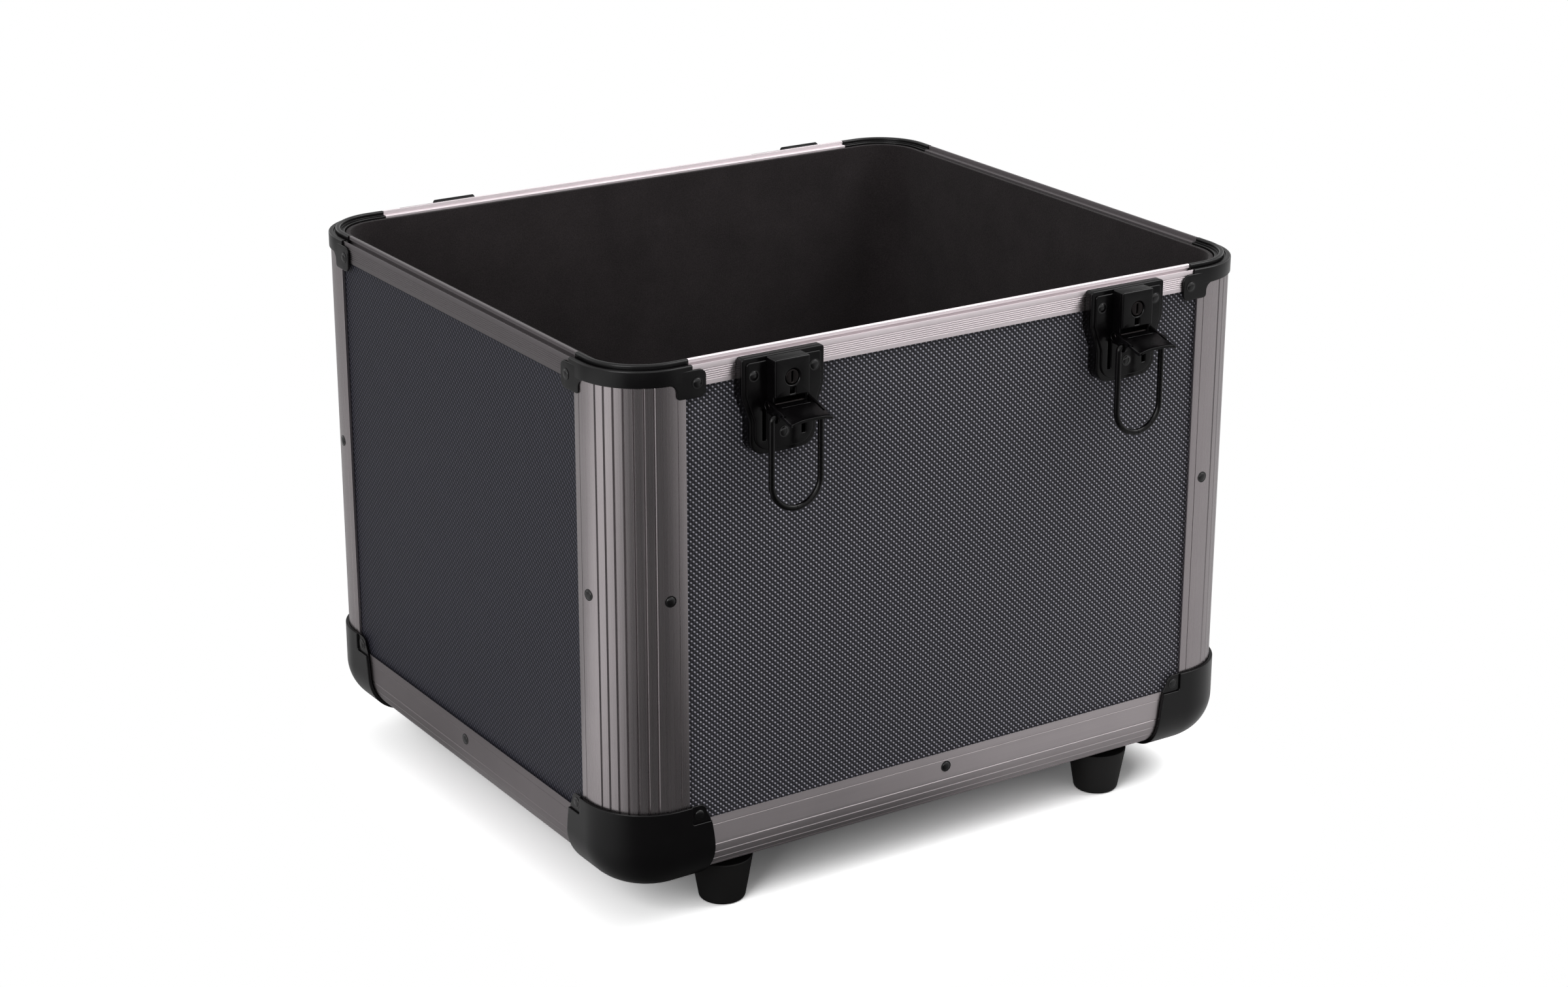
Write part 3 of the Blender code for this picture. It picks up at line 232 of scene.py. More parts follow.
class StageSizes(bpy.types.PropertyGroup):
    """Camera and light."""

    distance_x: length("Camera x", "Camera's place to the right of the case", -831.6)
    distance_y: length("Camera y", "Camera's place behind the front", -1279.3)
    height: length("Camera height", "Camera's height", 699.8)
    turn: angle("Camera turn", "Turn of the view about the upright", -32.99)
    dip: angle("Camera dip", "How far the view looks down", 19.90)
    roll: angle("Camera roll", "Tilt of the view", 0.10)
    focal: bpy.props.FloatProperty(
        name="Focal length", description="Focal length on a 36 mm wide frame", default=72.20, unit="CAMERA"
    )
    key: amount("Key", "Radiance of the large light on the left", 3.6)
    fill: amount("Fill", "Radiance of the light high on the right", 4.0)
    top: amount("Top", "Radiance of the light overhead", 0.7)
    sky: amount("Sky", "Strength of the plain light from all round", 0.35)


# Drawing in two dimensions

def arc(centre, radius, start, end, steps):
    """Points on an arc, both ends included."""
    turns = [start + (end - start) * index / steps for index in range(steps + 1)]
    return [(centre[0] + radius * math.cos(t), centre[1] + radius * math.sin(t)) for t in turns]


def rounded(points, radii, steps=6):
    """Round the corners of a closed outline, each by its own radius."""
    result = []
    for index, (corner, radius) in enumerate(zip(points, radii)):
        if radius <= 0:
            result.append(corner)
            continue
        here = Vector(corner)
        back = (Vector(points[index - 1]) - here).normalized()
        ahead = (Vector(points[(index + 1) % len(points)]) - here).normalized()
        half = math.acos(max(-1.0, min(1.0, back.dot(ahead)))) / 2
        centre = here + (back + ahead).normalized() * radius / math.sin(half)
        first = here + back * radius / math.tan(half) - centre
        last = here + ahead * radius / math.tan(half) - centre
        start = math.atan2(first.y, first.x)
        turn = (math.atan2(last.y, last.x) - start + math.pi) % (2 * math.pi) - math.pi
        result.extend(arc(centre, radius, start, start + turn, steps))
    return result


def mirrored(points):
    """The same points across x = 0, in reverse order."""
    return [(-x, y) for x, y in reversed(points)]


def area(points):
    """Signed area of a closed outline."""
    following = points[1:] + points[:1]
    return sum(a[0] * b[1] - b[0] * a[1] for a, b in zip(points, following)) / 2


def inset(points, amount_in):
    """An outline moved to the left of its own direction by an even amount."""
    result = []
    for index, point in enumerate(points):
        before = Vector(points[index - 1])
        here = Vector(point)
        after = Vector(points[(index + 1) % len(points)])
        one = (here - before).normalized()
        two = (after - here).normalized()
        one = Vector((-one.y, one.x))
        two = Vector((-two.y, two.x))
        reach = amount_in / max(0.25, 1 + one.dot(two))
        result.append(tuple(here + (one + two) * reach))
    return result


def dent(width, depth):
    """Offsets (along, in) of a V groove, whose one wall shows bright and the other dark."""
    return [(-width / 2, 0.0), (0.0, depth), (width / 2, 0.0)]


def grooved_arc(centre, radius, turns, width, depth, step, least):
    """A quarter arc, from the circle's left to its foot, with V grooves at the given turns."""
    points = []
    start = math.pi
    end = 1.5 * math.pi
    half = width / 2 / radius
    for turn in turns:
        size = turn - half - start
        points.extend(arc(centre, radius, start, turn - half, max(least, round(size / step)))[:-1])
        for along, sunk in dent(width, depth)[:-1]:
            points.extend(arc(centre, radius - sunk, turn + along / radius, turn, 1)[:1])
        start = turn + half
    return points + arc(centre, radius, start, end, max(least, round((end - start) / step)))


# Shapes in three dimensions

def loft(rings, closed=False):
    """A skin over rings of points, capped at its ends unless it runs round."""
    shape = bmesh.new()
    rows = [[shape.verts.new(point) for point in ring] for ring in rings]
    pairs = list(zip(rows, rows[1:]))
    if closed:
        pairs.append((rows[-1], rows[0]))
    size = len(rows[0])
    for low, high in pairs:
        for index in range(size):
            after = (index + 1) % size
            shape.faces.new((low[index], low[after], high[after], high[index]))
    if not closed:
        shape.faces.new(rows[0])
        shape.faces.new(rows[-1])
    return shape


def sheet(loops, low, high, edge, steps=4):
    """A flat plate of outlines, holes among them, whose upper edges are rounded."""
    shape = bmesh.new()
    bottom = []
    top = []
    for number, loop in enumerate(loops):
        if (area(loop) < 0) != (number > 0):
            loop = loop[::-1]
        levels = [(0.0, low), (0.0, high - edge)]
        for index in range(1, steps + 1):
            turn = QUARTER * index / steps
            levels.append((edge * (1 - math.cos(turn)), high - edge + edge * math.sin(turn)))
        rows = []
        for shift, level in levels:
            rows.append([shape.verts.new((x, y, level)) for x, y in inset(loop, shift)])
        for under, over in zip(rows, rows[1:]):
            for index in range(len(loop)):
                after = (index + 1) % len(loop)
                shape.faces.new((under[index], under[after], over[after], over[index]))
        for row, kept in ((rows[0], bottom), (rows[-1], top)):
            kept.extend(shape.edges.get((row[i], row[(i + 1) % len(row)])) for i in range(len(row)))
    for kept in (bottom, top):
        bmesh.ops.triangle_fill(shape, use_beauty=True, use_dissolve=False, edges=kept)
    return shape


def lathe(profile, steps=48):
    """A turned shape about z, of a closed (radius, z) profile that starts and ends on the axis."""
    shape = bmesh.new()
    rows = []
    for index in range(steps):
        turn = 2 * math.pi * index / steps
        rows.append([shape.verts.new((r * math.cos(turn), r * math.sin(turn), z)) for r, z in profile])
    for one, two in zip(rows, rows[1:] + rows[:1]):
        for index in range(len(profile) - 1):
            shape.faces.new((one[index], two[index], two[index + 1], one[index + 1]))
    bmesh.ops.remove_doubles(shape, verts=shape.verts, dist=MM / 1000)
    return shape


def moved(shape, matrix):
    """The shape, put somewhere else."""
    bmesh.ops.transform(shape, matrix=matrix, verts=shape.verts)
    return shape


def copied(shape, matrix):
    """A copy of the shape, put somewhere else."""
    return moved(shape.copy(), matrix)


def bent(shape, place, step_x, step_y):
    """Cut a plate finely across both ways, then carry each point to its place on a curved face."""
    for axis, step in ((0, step_x), (1, step_y)):
        values = [vert.co[axis] for vert in shape.verts]
        mark = min(values) + step
        while mark < max(values) - step / 4:
            point = Vector((0.0, 0.0, 0.0))
            normal = Vector((0.0, 0.0, 0.0))
            point[axis] = mark
            normal[axis] = 1.0
            everything = [*shape.verts, *shape.edges, *shape.faces]
            bmesh.ops.bisect_plane(shape, geom=everything, plane_co=point, plane_no=normal, dist=MM / 500)
            mark += step
    for vert in shape.verts:
        vert.co = place(*vert.co)
    return shape


# Puts a plate drawn as (x, z, out) on a side's outer face, where out points away from the case
OFF_THE_FACE = Matrix(((1, 0, 0, 0), (0, 0, -1, 0), (0, 1, 0, 0), (0, 0, 0, 1)))
# Puts a plate drawn as (y, z, along) across a side
ACROSS = Matrix(((0, 0, 1, 0), (1, 0, 0, 0), (0, 1, 0, 0), (0, 0, 0, 1)))
# Turns a corner piece to the corner's other side
OTHER_SIDE = Matrix(((0, 1, 0, 0), (1, 0, 0, 0), (0, 0, 1, 0), (0, 0, 0, 1)))


def frame_at(index, x, y):
    """Matrix of a frame at a point of the plan, turned by as many quarters as its number."""
    return Matrix.Translation((x, y + CENTRE_Y, 0.0)) @ Matrix.Rotation(index * QUARTER, 4, "Z")


def side_place(index, case):
    """Matrix of a side's frame."""
    half_x = case.width / 2
    half_y = case.depth / 2
    return frame_at(index, *((0.0, -half_y), (half_x, 0.0), (0.0, half_y), (-half_x, 0.0))[index])


def corner_place(index, case):
    """Matrix of a corner's frame."""
    x = case.width / 2
    y = case.depth / 2
    return frame_at(index, *((-x, -y), (x, -y), (x, y), (-x, y))[index])


def round_corner(radius, s, out, z):
    """A point in a corner's frame from its run round the corner."""
    half = radius * math.pi / 4
    if abs(s) <= half:
        turn = 1.25 * math.pi + s / radius
        away = radius + out
        return Vector((radius + away * math.cos(turn), radius + away * math.sin(turn), z))
    over = radius + abs(s) - half
    if s > 0:
        return Vector((over, -out, z))
    return Vector((-out, over, z))


def run_of(radius, u):
    """Run round the corner of a point that lies u from the sharp corner along a face."""
    return u - radius + radius * math.pi / 4


# Finished pieces

def plain_mesh(name, shapes):
    """One mesh of closed shapes, with its faces outward."""
    whole = bmesh.new()
    for shape in shapes:
        part = bpy.data.meshes.new(name)
        shape.to_mesh(part)
        shape.free()
        whole.from_mesh(part)
        bpy.data.meshes.remove(part)
    bmesh.ops.recalc_face_normals(whole, faces=whole.faces)
    mesh = bpy.data.meshes.new(name)
    whole.to_mesh(mesh)
    whole.free()
    return mesh


def add_piece(name, mesh, material, body, replaced=()):
    """Put a finished mesh in the scene on its body."""
    piece = bpy.data.objects.new(name, mesh)
    bpy.context.scene.collection.objects.link(piece)
    mesh.materials.clear()
    mesh.materials.append(material)
    for polygon in mesh.polygons:
        polygon.material_index = 0
    mesh.shade_smooth()
    mesh.set_sharp_from_angle(angle=math.radians(32))
    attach(piece, body)
    if replaced:
        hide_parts(*replaced)
    return piece


def put(name, node, shapes, place, material, body):
    """Put copies of closed shapes in the scene as the finished piece that stands in for a node."""
    mesh = plain_mesh(name, [copied(shape, place) for shape in shapes])
    add_piece(name, mesh, material, body, [node])


def baked(mesh, tree, values):
    """Run a node tree over a mesh and keep what it makes as a plain mesh."""
    carrier = bpy.data.objects.new(tree.name, mesh)
    bpy.context.scene.collection.objects.link(carrier)
    modifier = carrier.modifiers.new(tree.name, "NODES")
    modifier.node_group = tree
    for item in tree.interface.items_tree:
        if item.item_type == "SOCKET" and item.in_out == "INPUT" and item.name in values:
            modifier[item.identifier] = values[item.name]
    graph = bpy.context.evaluated_depsgraph_get()
    made = bpy.data.meshes.new_from_object(carrier.evaluated_get(graph))
    carrier.modifiers.remove(modifier)
    bpy.data.objects.remove(carrier)
    bpy.data.meshes.remove(mesh)
    return made


def feed(tree, node, **inputs):
    """Link or set a node's inputs and give the node back.

    An input goes by its name, with _ for a space, or by _ and its number. A node that is given stands for
    its first output, and a list links each node in it.
    """
    for key, value in inputs.items():
        name = key.replace("_", " ")
        target = node.inputs[int(name[1:])] if name[1:].isdigit() else node.inputs[name]
        for source in value if isinstance(value, list) else [value]:
            if isinstance(source, bpy.types.Node):
                source = source.outputs[0]
            if isinstance(source, bpy.types.NodeSocket):
                tree.links.new(source, target)
            else:
                target.default_value = source
    return node


def add_node(tree, kind, settings=None, **inputs):
    """Add a node, set it up and feed it."""
    made = tree.nodes.new(kind)
    for key, value in (settings or {}).items():
        setattr(made, key, value)
    return feed(tree, made, **inputs)


def new_tree(name, sockets):
    """A geometry node tree with named sockets, its input node and its output node."""
    tree = bpy.data.node_groups.new(name, "GeometryNodeTree")
    for label, kind, default in sockets:
        socket = tree.interface.new_socket(label, in_out="INPUT", socket_type="NodeSocket" + kind)
        if default is not None:
            socket.default_value = default
    tree.interface.new_socket("Geometry", in_out="OUTPUT", socket_type="NodeSocketGeometry")
    return tree, tree.nodes.new("NodeGroupInput").outputs, tree.nodes.new("NodeGroupOutput")


def finish_tree(tree, geometry, material, output):
    """End a tree in real geometry with its finish."""
    real = add_node(tree, "GeometryNodeRealizeInstances", Geometry=geometry)
    feed(tree, output, _0=add_node(tree, "GeometryNodeSetMaterial", Geometry=real, Material=material))
    return tree


def extrusion_tree():
    """A bar of one section: the section is filled, then pressed out to its length."""
    tree, given, output = new_tree("Extruded bar", (
        ("Section", "Geometry", None), ("Length", "Float", 0.1), ("Finish", "Material", None),
    ))
    outline = add_node(tree, "GeometryNodeMeshToCurve", Mesh=given["Section"])
    filled = add_node(tree, "GeometryNodeFillCurve", {"mode": "NGONS"}, Curve=outline)
    run = add_node(tree, "ShaderNodeCombineXYZ", Z=given["Length"])
    pressed = add_node(
        tree, "GeometryNodeExtrudeMesh", {"mode": "FACES"}, Mesh=filled, Offset=run, Individual=False
    )
    back = add_node(tree, "GeometryNodeFlipFaces", Mesh=filled)
    both = add_node(tree, "GeometryNodeJoinGeometry", _0=[pressed, back])
    welded = add_node(tree, "GeometryNodeMergeByDistance", Geometry=both, Distance=MM / 1000)
    return finish_tree(tree, welded, given["Finish"], output)


def rivet_tree():
    """Domed heads with a rim, one on each point, turned to the way that the point faces."""
    tree, given, output = new_tree("Rivet heads", (
        ("Points", "Geometry", None), ("Crown", "Float", 0.24), ("Dome width", "Float", 0.8),
        ("Rim height", "Float", 0.12), ("Finish", "Material", None),
    ))
    rim = add_node(
        tree, "GeometryNodeMeshCylinder", {"fill_type": "NGON"},
        Vertices=28, Radius=1.0, Depth=given["Rim height"],
    )
    dome = add_node(tree, "GeometryNodeMeshUVSphere", Segments=28, Rings=14, Radius=1.0)
    wide = given["Dome width"]
    size = add_node(tree, "ShaderNodeCombineXYZ", X=wide, Y=wide, Z=given["Crown"])
    low = add_node(tree, "GeometryNodeTransform", Geometry=dome, Scale=size)
    head = add_node(tree, "GeometryNodeJoinGeometry", _0=[rim, low])
    facing = add_node(tree, "GeometryNodeInputNamedAttribute", {"data_type": "FLOAT_VECTOR"}, Name="facing")
    radius = add_node(tree, "GeometryNodeInputNamedAttribute", {"data_type": "FLOAT"}, Name="radius")
    turn = add_node(tree, "FunctionNodeAlignRotationToVector", {"axis": "Z"}, Vector=facing)
    many = add_node(
        tree, "GeometryNodeInstanceOnPoints",
        Points=given["Points"], Instance=head, Rotation=turn, Scale=radius,
    )
    return finish_tree(tree, many, given["Finish"], output)


def section_mesh(outline):
    """A closed outline as a mesh of edges."""
    mesh = bpy.data.meshes.new("section")
    total = len(outline)
    edges = [(index, (index + 1) % total) for index in range(total)]
    mesh.from_pydata([(x, y, 0.0) for x, y in outline], edges, [])
    return mesh


def bar(outline, size, material):
    """An extruded bar of an outline, as a shape that stands on z = 0."""
    tree = kept_tree("Extruded bar", extrusion_tree)
    mesh = baked(section_mesh(outline), tree, {"Length": size, "Finish": material})
    shape = bmesh.new()
    shape.from_mesh(mesh)
    bpy.data.meshes.remove(mesh)
    return shape


def kept_tree(name, build):
    """A tree that is built once and used again."""
    return bpy.data.node_groups.get(name) or build()


# Finishes

def once(build):
    """Make a finish only the first time that its name is asked for."""
    def kept(name, *values):
        return bpy.data.materials.get(name) or build(name, *values)
    return kept


def new_material(name):
    """A material with its tree, its shader and its Object coordinates."""
    material = bpy.data.materials.new(name)
    material.use_nodes = True
    tree = material.node_tree
    shader = tree.nodes["Principled BSDF"]
    place = tree.nodes.new("ShaderNodeTexCoord").outputs["Object"]
    return material, tree, shader, place


def grain(tree, place, scale, detail, roughness=0.55):
    """Noise on Object coordinates, in waves a metre: one scale, or its own along each axis."""
    axes = (scale,) * 3 if isinstance(scale, float) else tuple(scale)
    mapped = add_node(tree, "ShaderNodeMapping", Vector=place, Scale=axes)
    return add_node(
        tree, "ShaderNodeTexNoise", Vector=mapped, Scale=1.0, Detail=detail, Roughness=roughness
    ).outputs["Fac"]


def spread(tree, value, low, high, start=0.3, end=0.7):
    """Carry a value from one range to another."""
    return add_node(
        tree, "ShaderNodeMapRange",
        Value=value, From_Min=start, From_Max=end, To_Min=low, To_Max=high,
    )


def shaded(tree, colour, value, low, high):
    """A colour that is darkened and lightened by a value."""
    return add_node(
        tree, "ShaderNodeHueSaturation", Color=colour, Value=spread(tree, value, low, high)
    )


def raise_by(tree, shader, height, distance, strength=1.0):
    """Give a shader its relief, in metres."""
    relief = add_node(tree, "ShaderNodeBump", Height=height, Distance=distance, Strength=strength)
    feed(tree, shader, Normal=relief)


@once
def anodised(name, colour, along, roughness, spread_out):
    """Anodised aluminium extrusion: fine draw lines along the bar spread its soft metal sheen across them.

    Real draw lines lie about 0.1 mm apart; they are drawn 0.5 mm apart so that they show.
    """
    material, tree, shader, place = new_material(name)
    across = 1 / (0.5 * MM)
    scale = [across, across, across]
    scale[along] = across / 250
    lines = grain(tree, place, scale, 3.0)
    cloud = grain(tree, place, 22.0, 2.0)
    tinted = shaded(tree, colour, lines, 0.97, 1.03)
    feed(
        tree, shader, Base_Color=shaded(tree, tinted, cloud, 0.96, 1.03), Metallic=1.0,
        Roughness=spread(tree, lines, roughness - 0.02, roughness + 0.03),
        Anisotropic=spread_out, Anisotropic_Rotation=0.25,
        Tangent=add_node(tree, "ShaderNodeCombineXYZ", **{"_" + str(along): 1.0}),
    )
    raise_by(tree, shader, lines, 0.0015 * MM)
    return material


def spots(tree, split, across, place, turn, size):
    """A soft spot in each cell of the laminate's pattern and one half a cell on, drawn out at an angle.

    A cell is 3.03 mm wide and 2.86 mm high, as measured; place and size are shares of it. Across is the
    axis along the wall and its sense, so that the pattern runs the same way on each wall seen from outside.
    """
    axis, sense = across
    wrap = {"operation": "WRAP"}
    heights = []
    for half_way in (0.0, 0.5):
        parts = []
        for way, period, share in ((axis, sense * 3.03, place[0]), ("Z", 2.86, place[1])):
            cell = add_node(
                tree, "ShaderNodeMath", {"operation": "MULTIPLY_ADD"},
                _0=split.outputs[way], _1=1 / (period * MM), _2=half_way - share,
            )
            parts.append(add_node(tree, "ShaderNodeMath", wrap, _0=cell, _1=0.5, _2=-0.5))
        drawn_out = add_node(
            tree, "ShaderNodeMapping", {"vector_type": "TEXTURE"},
            Vector=add_node(tree, "ShaderNodeCombineXYZ", X=parts[0], Y=parts[1]),
            Rotation=(0.0, 0.0, turn), Scale=(size[0], size[1], 1.0),
        )
        far = add_node(tree, "ShaderNodeVectorMath", {"operation": "LENGTH"}, _0=drawn_out)
        heights.append(spread(tree, far.outputs["Value"], 1.0, 0.0, 0.0, 1.0))
    return add_node(tree, "ShaderNodeMath", {"operation": "MAXIMUM"}, _0=heights[0], _1=heights[1])


@once
def laminate(name, colour, dot, across, size):
    """Textured board laminate: staggered raised dots, pale partly as painted highlight, faint ridges, and
    painted shade at the lower left of each dot.

    The dots are drawn at the size given, as painted light: small where the light stands high, and drawn out
    to strokes where it grazes the wall.
    """
    material, tree, shader, place = new_material(name)
    split = add_node(tree, "ShaderNodeSeparateXYZ", Vector=place)
    lean = QUARTER / 2
    dots = spots(tree, split, across, (0.0, 0.0), -lean, size)
    flanks = spots(tree, split, across, (0.0, 0.0), -lean, (0.54, 0.38))
    ridges = spots(tree, split, across, (0.04, -0.41), lean, (0.38, 0.22))
    dot_shade_mask = spots(tree, split, across, (-0.21, -0.13), lean, (0.3, 0.22))
    cloud = grain(tree, place, 60.0, 3.0)
    fine = grain(tree, place, 2500.0, 2.0)
    add = {"operation": "MULTIPLY_ADD"}
    blend = {"data_type": "RGBA"}
    low = add_node(tree, "ShaderNodeMath", {"operation": "MAXIMUM"}, _0=flanks, _1=ridges)
    # Mix towards the pale dot colour: the dots and a faint share of the flanks and ridges, pale partly as
    # painted highlight.
    lit = add_node(tree, "ShaderNodeMath", add, _0=low, _1=0.11, _2=dots)
    base = shaded(tree, colour, cloud, 0.85, 1.15)
    # Painted shade: the lower left of each dot is darkened towards near-black.
    dark = add_node(tree, "ShaderNodeMix", blend, _6=base, _7=linear("#08080a"), Factor=dot_shade_mask).outputs[2]
    light = add_node(tree, "ShaderNodeMix", blend, _6=dark, _7=dot, Factor=lit).outputs[2]
    relief = add_node(tree, "ShaderNodeMath", add, _0=low, _1=0.35, _2=dots)
    relief = add_node(tree, "ShaderNodeMath", add, _0=fine, _1=0.12, _2=relief)
    rough = spread(tree, fine, 0.42, 0.58)
    feed(tree, shader, Base_Color=light, Roughness=rough, Specular_IOR_Level=0.15)
    raise_by(tree, shader, relief, 0.12 * MM, 0.8)
    return material


@once
def moulded(name, colour, roughness, specular, texture):
    """Injection-moulded plastic or rubber: a fine spark-eroded skin with a soft highlight.

    The real skin is about 0.1 mm fine; it is drawn at texture, which is coarser, so that it shows.
    """
    material, tree, shader, place = new_material(name)
    skin = grain(tree, place, 1 / (texture * MM), 2.0)
    cloud = grain(tree, place, 35.0, 3.0)
    feed(
        tree, shader, Base_Color=shaded(tree, colour, cloud, 0.85, 1.2),
        Roughness=spread(tree, cloud, roughness - 0.04, roughness + 0.05),
        # Far less specular on flat tops: painted shade.
        Specular_IOR_Level=dull_tops(tree, specular),
    )
    raise_by(tree, shader, skin, 0.006 * MM)
    return material


def dull_tops(tree, level):
    """The gloss: a level of specular, and far less on flat tops: painted shade that keeps them dark."""
    facing = tree.nodes.new("ShaderNodeNewGeometry").outputs["Normal"]
    split = add_node(tree, "ShaderNodeSeparateXYZ", Vector=facing)
    return spread(tree, split.outputs["Z"], level, 0.12 * level, 0.8, 0.97)


@once
def enamelled(name, colour, ior=1.3):
    """Black stove enamel on pressed steel: a gloss skin with slight orange peel and rubbed patches."""
    material, tree, shader, place = new_material(name)
    peel = grain(tree, place, 900.0, 1.0)
    rubbed = grain(tree, place, 160.0, 4.0)
    # Far less specular on flat tops: painted shade.
    feed(
        tree, shader, Base_Color=shaded(tree, colour, rubbed, 0.8, 1.3), IOR=ior,
        Roughness=spread(tree, rubbed, 0.17, 0.27), Specular_IOR_Level=dull_tops(tree, 0.5),
    )
    raise_by(tree, shader, peel, 0.01 * MM)
    return material


@once
def dark_steel(name, colour):
    """Blackened steel of turned pins and barrels: dull metal with fine turning marks."""
    material, tree, shader, place = new_material(name)
    marks = grain(tree, place, (3000.0, 300.0, 3000.0), 3.0)
    feed(
        tree, shader, Base_Color=shaded(tree, colour, marks, 0.75, 1.2), Metallic=1.0,
        Roughness=spread(tree, marks, 0.25, 0.4),
    )
    raise_by(tree, shader, marks, 0.01 * MM)
    return material


@once
def felted(name, colour):
    """Pressed felt: matt, with a faint nap and uneven fibres about 0.6 mm across."""
    material, tree, shader, place = new_material(name)
    fibres = grain(tree, place, 1 / (0.6 * MM), 5.0, 0.7)
    cloud = grain(tree, place, 40.0, 3.0)
    tinted = shaded(tree, colour, fibres, 0.6, 1.5)
    feed(
        tree, shader, Base_Color=shaded(tree, tinted, cloud, 0.85, 1.15), Roughness=0.95,
        Specular_IOR_Level=0.15, Sheen_Weight=0.14, Sheen_Roughness=0.4,
    )
    raise_by(tree, shader, fibres, 0.25 * MM)
    return material


def post_finish(context):
    """Aluminium of the posts."""
    return anodised("Satin anodised aluminium, upright", context.scene.finishes.upright, 2, 0.27, 0.4)


def mould_finish(context):
    """Plastic of the moulded corners."""
    return moulded("Satin moulded plastic", context.scene.finishes.mould, 0.24, 0.3, 0.4)


def latch_finish(context):
    """Enamel of the latches."""
    return enamelled("Black stove enamel", context.scene.finishes.enamel)


def steel_finish(context):
    """Steel of the pins and barrels."""
    return dark_steel("Blackened steel", context.scene.finishes.barrel)


# Outlines of the extrusions

def post_section(case, bars):
    """Plan of a corner post: fluted skin and two board slots."""
    radius = case.radius
    centre = (radius, radius)
    edge = radius + bars.flange
    slot = radius + MM
    soft = 0.2 * MM
    middle = (bars.flutes - 1) / 2
    turns = [1.25 * math.pi + (index - middle) * bars.flute_pitch for index in range(bars.flutes)]
    outer = grooved_arc(centre, radius, turns, bars.flute_width, bars.flute_depth, 0.04, 3)
    line = dent(bars.line_width, bars.line_depth)
    leg = [(edge - bars.line_setback + along, depth) for along, depth in line]
    leg.extend(arc((edge - soft, soft), soft, -QUARTER, 0.0, 3))
    leg.extend([
        (edge, case.skin), (slot, case.skin), (slot, case.inner), (edge, case.inner), (edge, case.wall),
    ])
    inner = arc(centre, radius - case.wall, 1.5 * math.pi, math.pi, 20)
    return outer + leg + inner + [(y, x) for x, y in reversed(leg)]


def rim_section(case, bars):
    """Section of a top rim, as (y, z)."""
    top = case.shoulder
    low = top - bars.rim_height
    wall = case.wall
    high = top + bars.rise
    chamfer = 0.1 * MM
    deep = 1.6 * MM
    under = 0.7 * MM
    soft = 0.15 * MM
    first_ridge = low + 2.45 * MM
    face = [(soft, low), (0.0, low + soft)]
    for index in range(bars.ridges):
        middle = first_ridge + index * bars.ridge_pitch
        for along, depth in dent(bars.ridge_pitch * 0.55, bars.ridge_depth):
            face.append((depth, middle + along))
    one = bars.lip
    two = one + bars.groove
    three = two + bars.tongue
    crown = [
        (0.0, top - chamfer), (chamfer / 3, top - chamfer / 3), (chamfer, top), (one, top - 0.5 * MM),
        (one, top - deep), (two + under, top - deep), (two + under, top + 0.1 * MM), (two, top + 0.3 * MM),
        (two + 0.1 * MM, top + 0.7 * MM), (two + 0.2 * MM, high - 0.4 * MM), (two + 0.6 * MM, high),
        (three - chamfer, high), (three - chamfer / 3, high - chamfer / 3), (three, high - chamfer),
        (three, top), (wall - 0.2 * MM, top), (wall, top - 0.2 * MM),
    ]
    channel = low + bars.channel
    board = [(case.inner, low), (case.inner, channel), (case.skin, channel), (case.skin, low)]
    return face + crown + [(wall, low), *board]


def edge_section(case, bars):
    """Section of a bottom edge, as (y, z)."""
    base = case.ground
    radius = bars.edge_radius
    centre = (radius, base + radius)
    wall = case.wall
    inner = case.inner
    reach = bars.edge_reach
    top = base + reach
    low = top - 0.8 * case.skin
    web = radius + 2 * MM
    groove = dent(bars.line_width, bars.line_depth)
    line = [(depth, top - bars.line_setback - along) for along, depth in groove]
    turns = [math.pi + bars.edge_first + index * bars.edge_pitch for index in range(bars.edge_lines)]
    outer = grooved_arc(centre, radius, turns, bars.edge_width, bars.edge_depth, 0.05, 2)
    floor = [
        (reach, base), (reach, base + case.skin), (web, base + case.skin), (web, base + inner),
        (reach, base + inner), (reach, base + wall),
    ]
    cove = arc(centre, radius - wall, 1.5 * math.pi, math.pi, 12)
    upper = [(wall, top), (inner, top), (inner, base + web), (case.skin, base + web), (case.skin, low)]
    return line + outer + floor + cove + upper + [(0.3 * MM, top - 0.1 * MM), (0.1 * MM, top)]


class CASE_OT_posts(bpy.types.Operator):
    """Fluted corner posts"""

    bl_idname = "record_case.posts"
    bl_label = "Corner posts"

    def execute(self, context):
        case = context.scene.case_sizes
        bars = context.scene.extrusion_sizes
        low = case.ground + bars.edge_reach + case.gap
        size = case.shoulder - bars.post_drop - low
        outline = post_section(case, bars)
        material = post_finish(context)
        for index, name in enumerate(CORNERS):
            place = corner_place(index, case) @ Matrix.Translation((0.0, 0.0, low))
            shape = bar(outline, size, material)
            node = "corner_post_" + name
            put("fluted_post_" + name, node, [shape], place, material, "case")
        return {"FINISHED"}


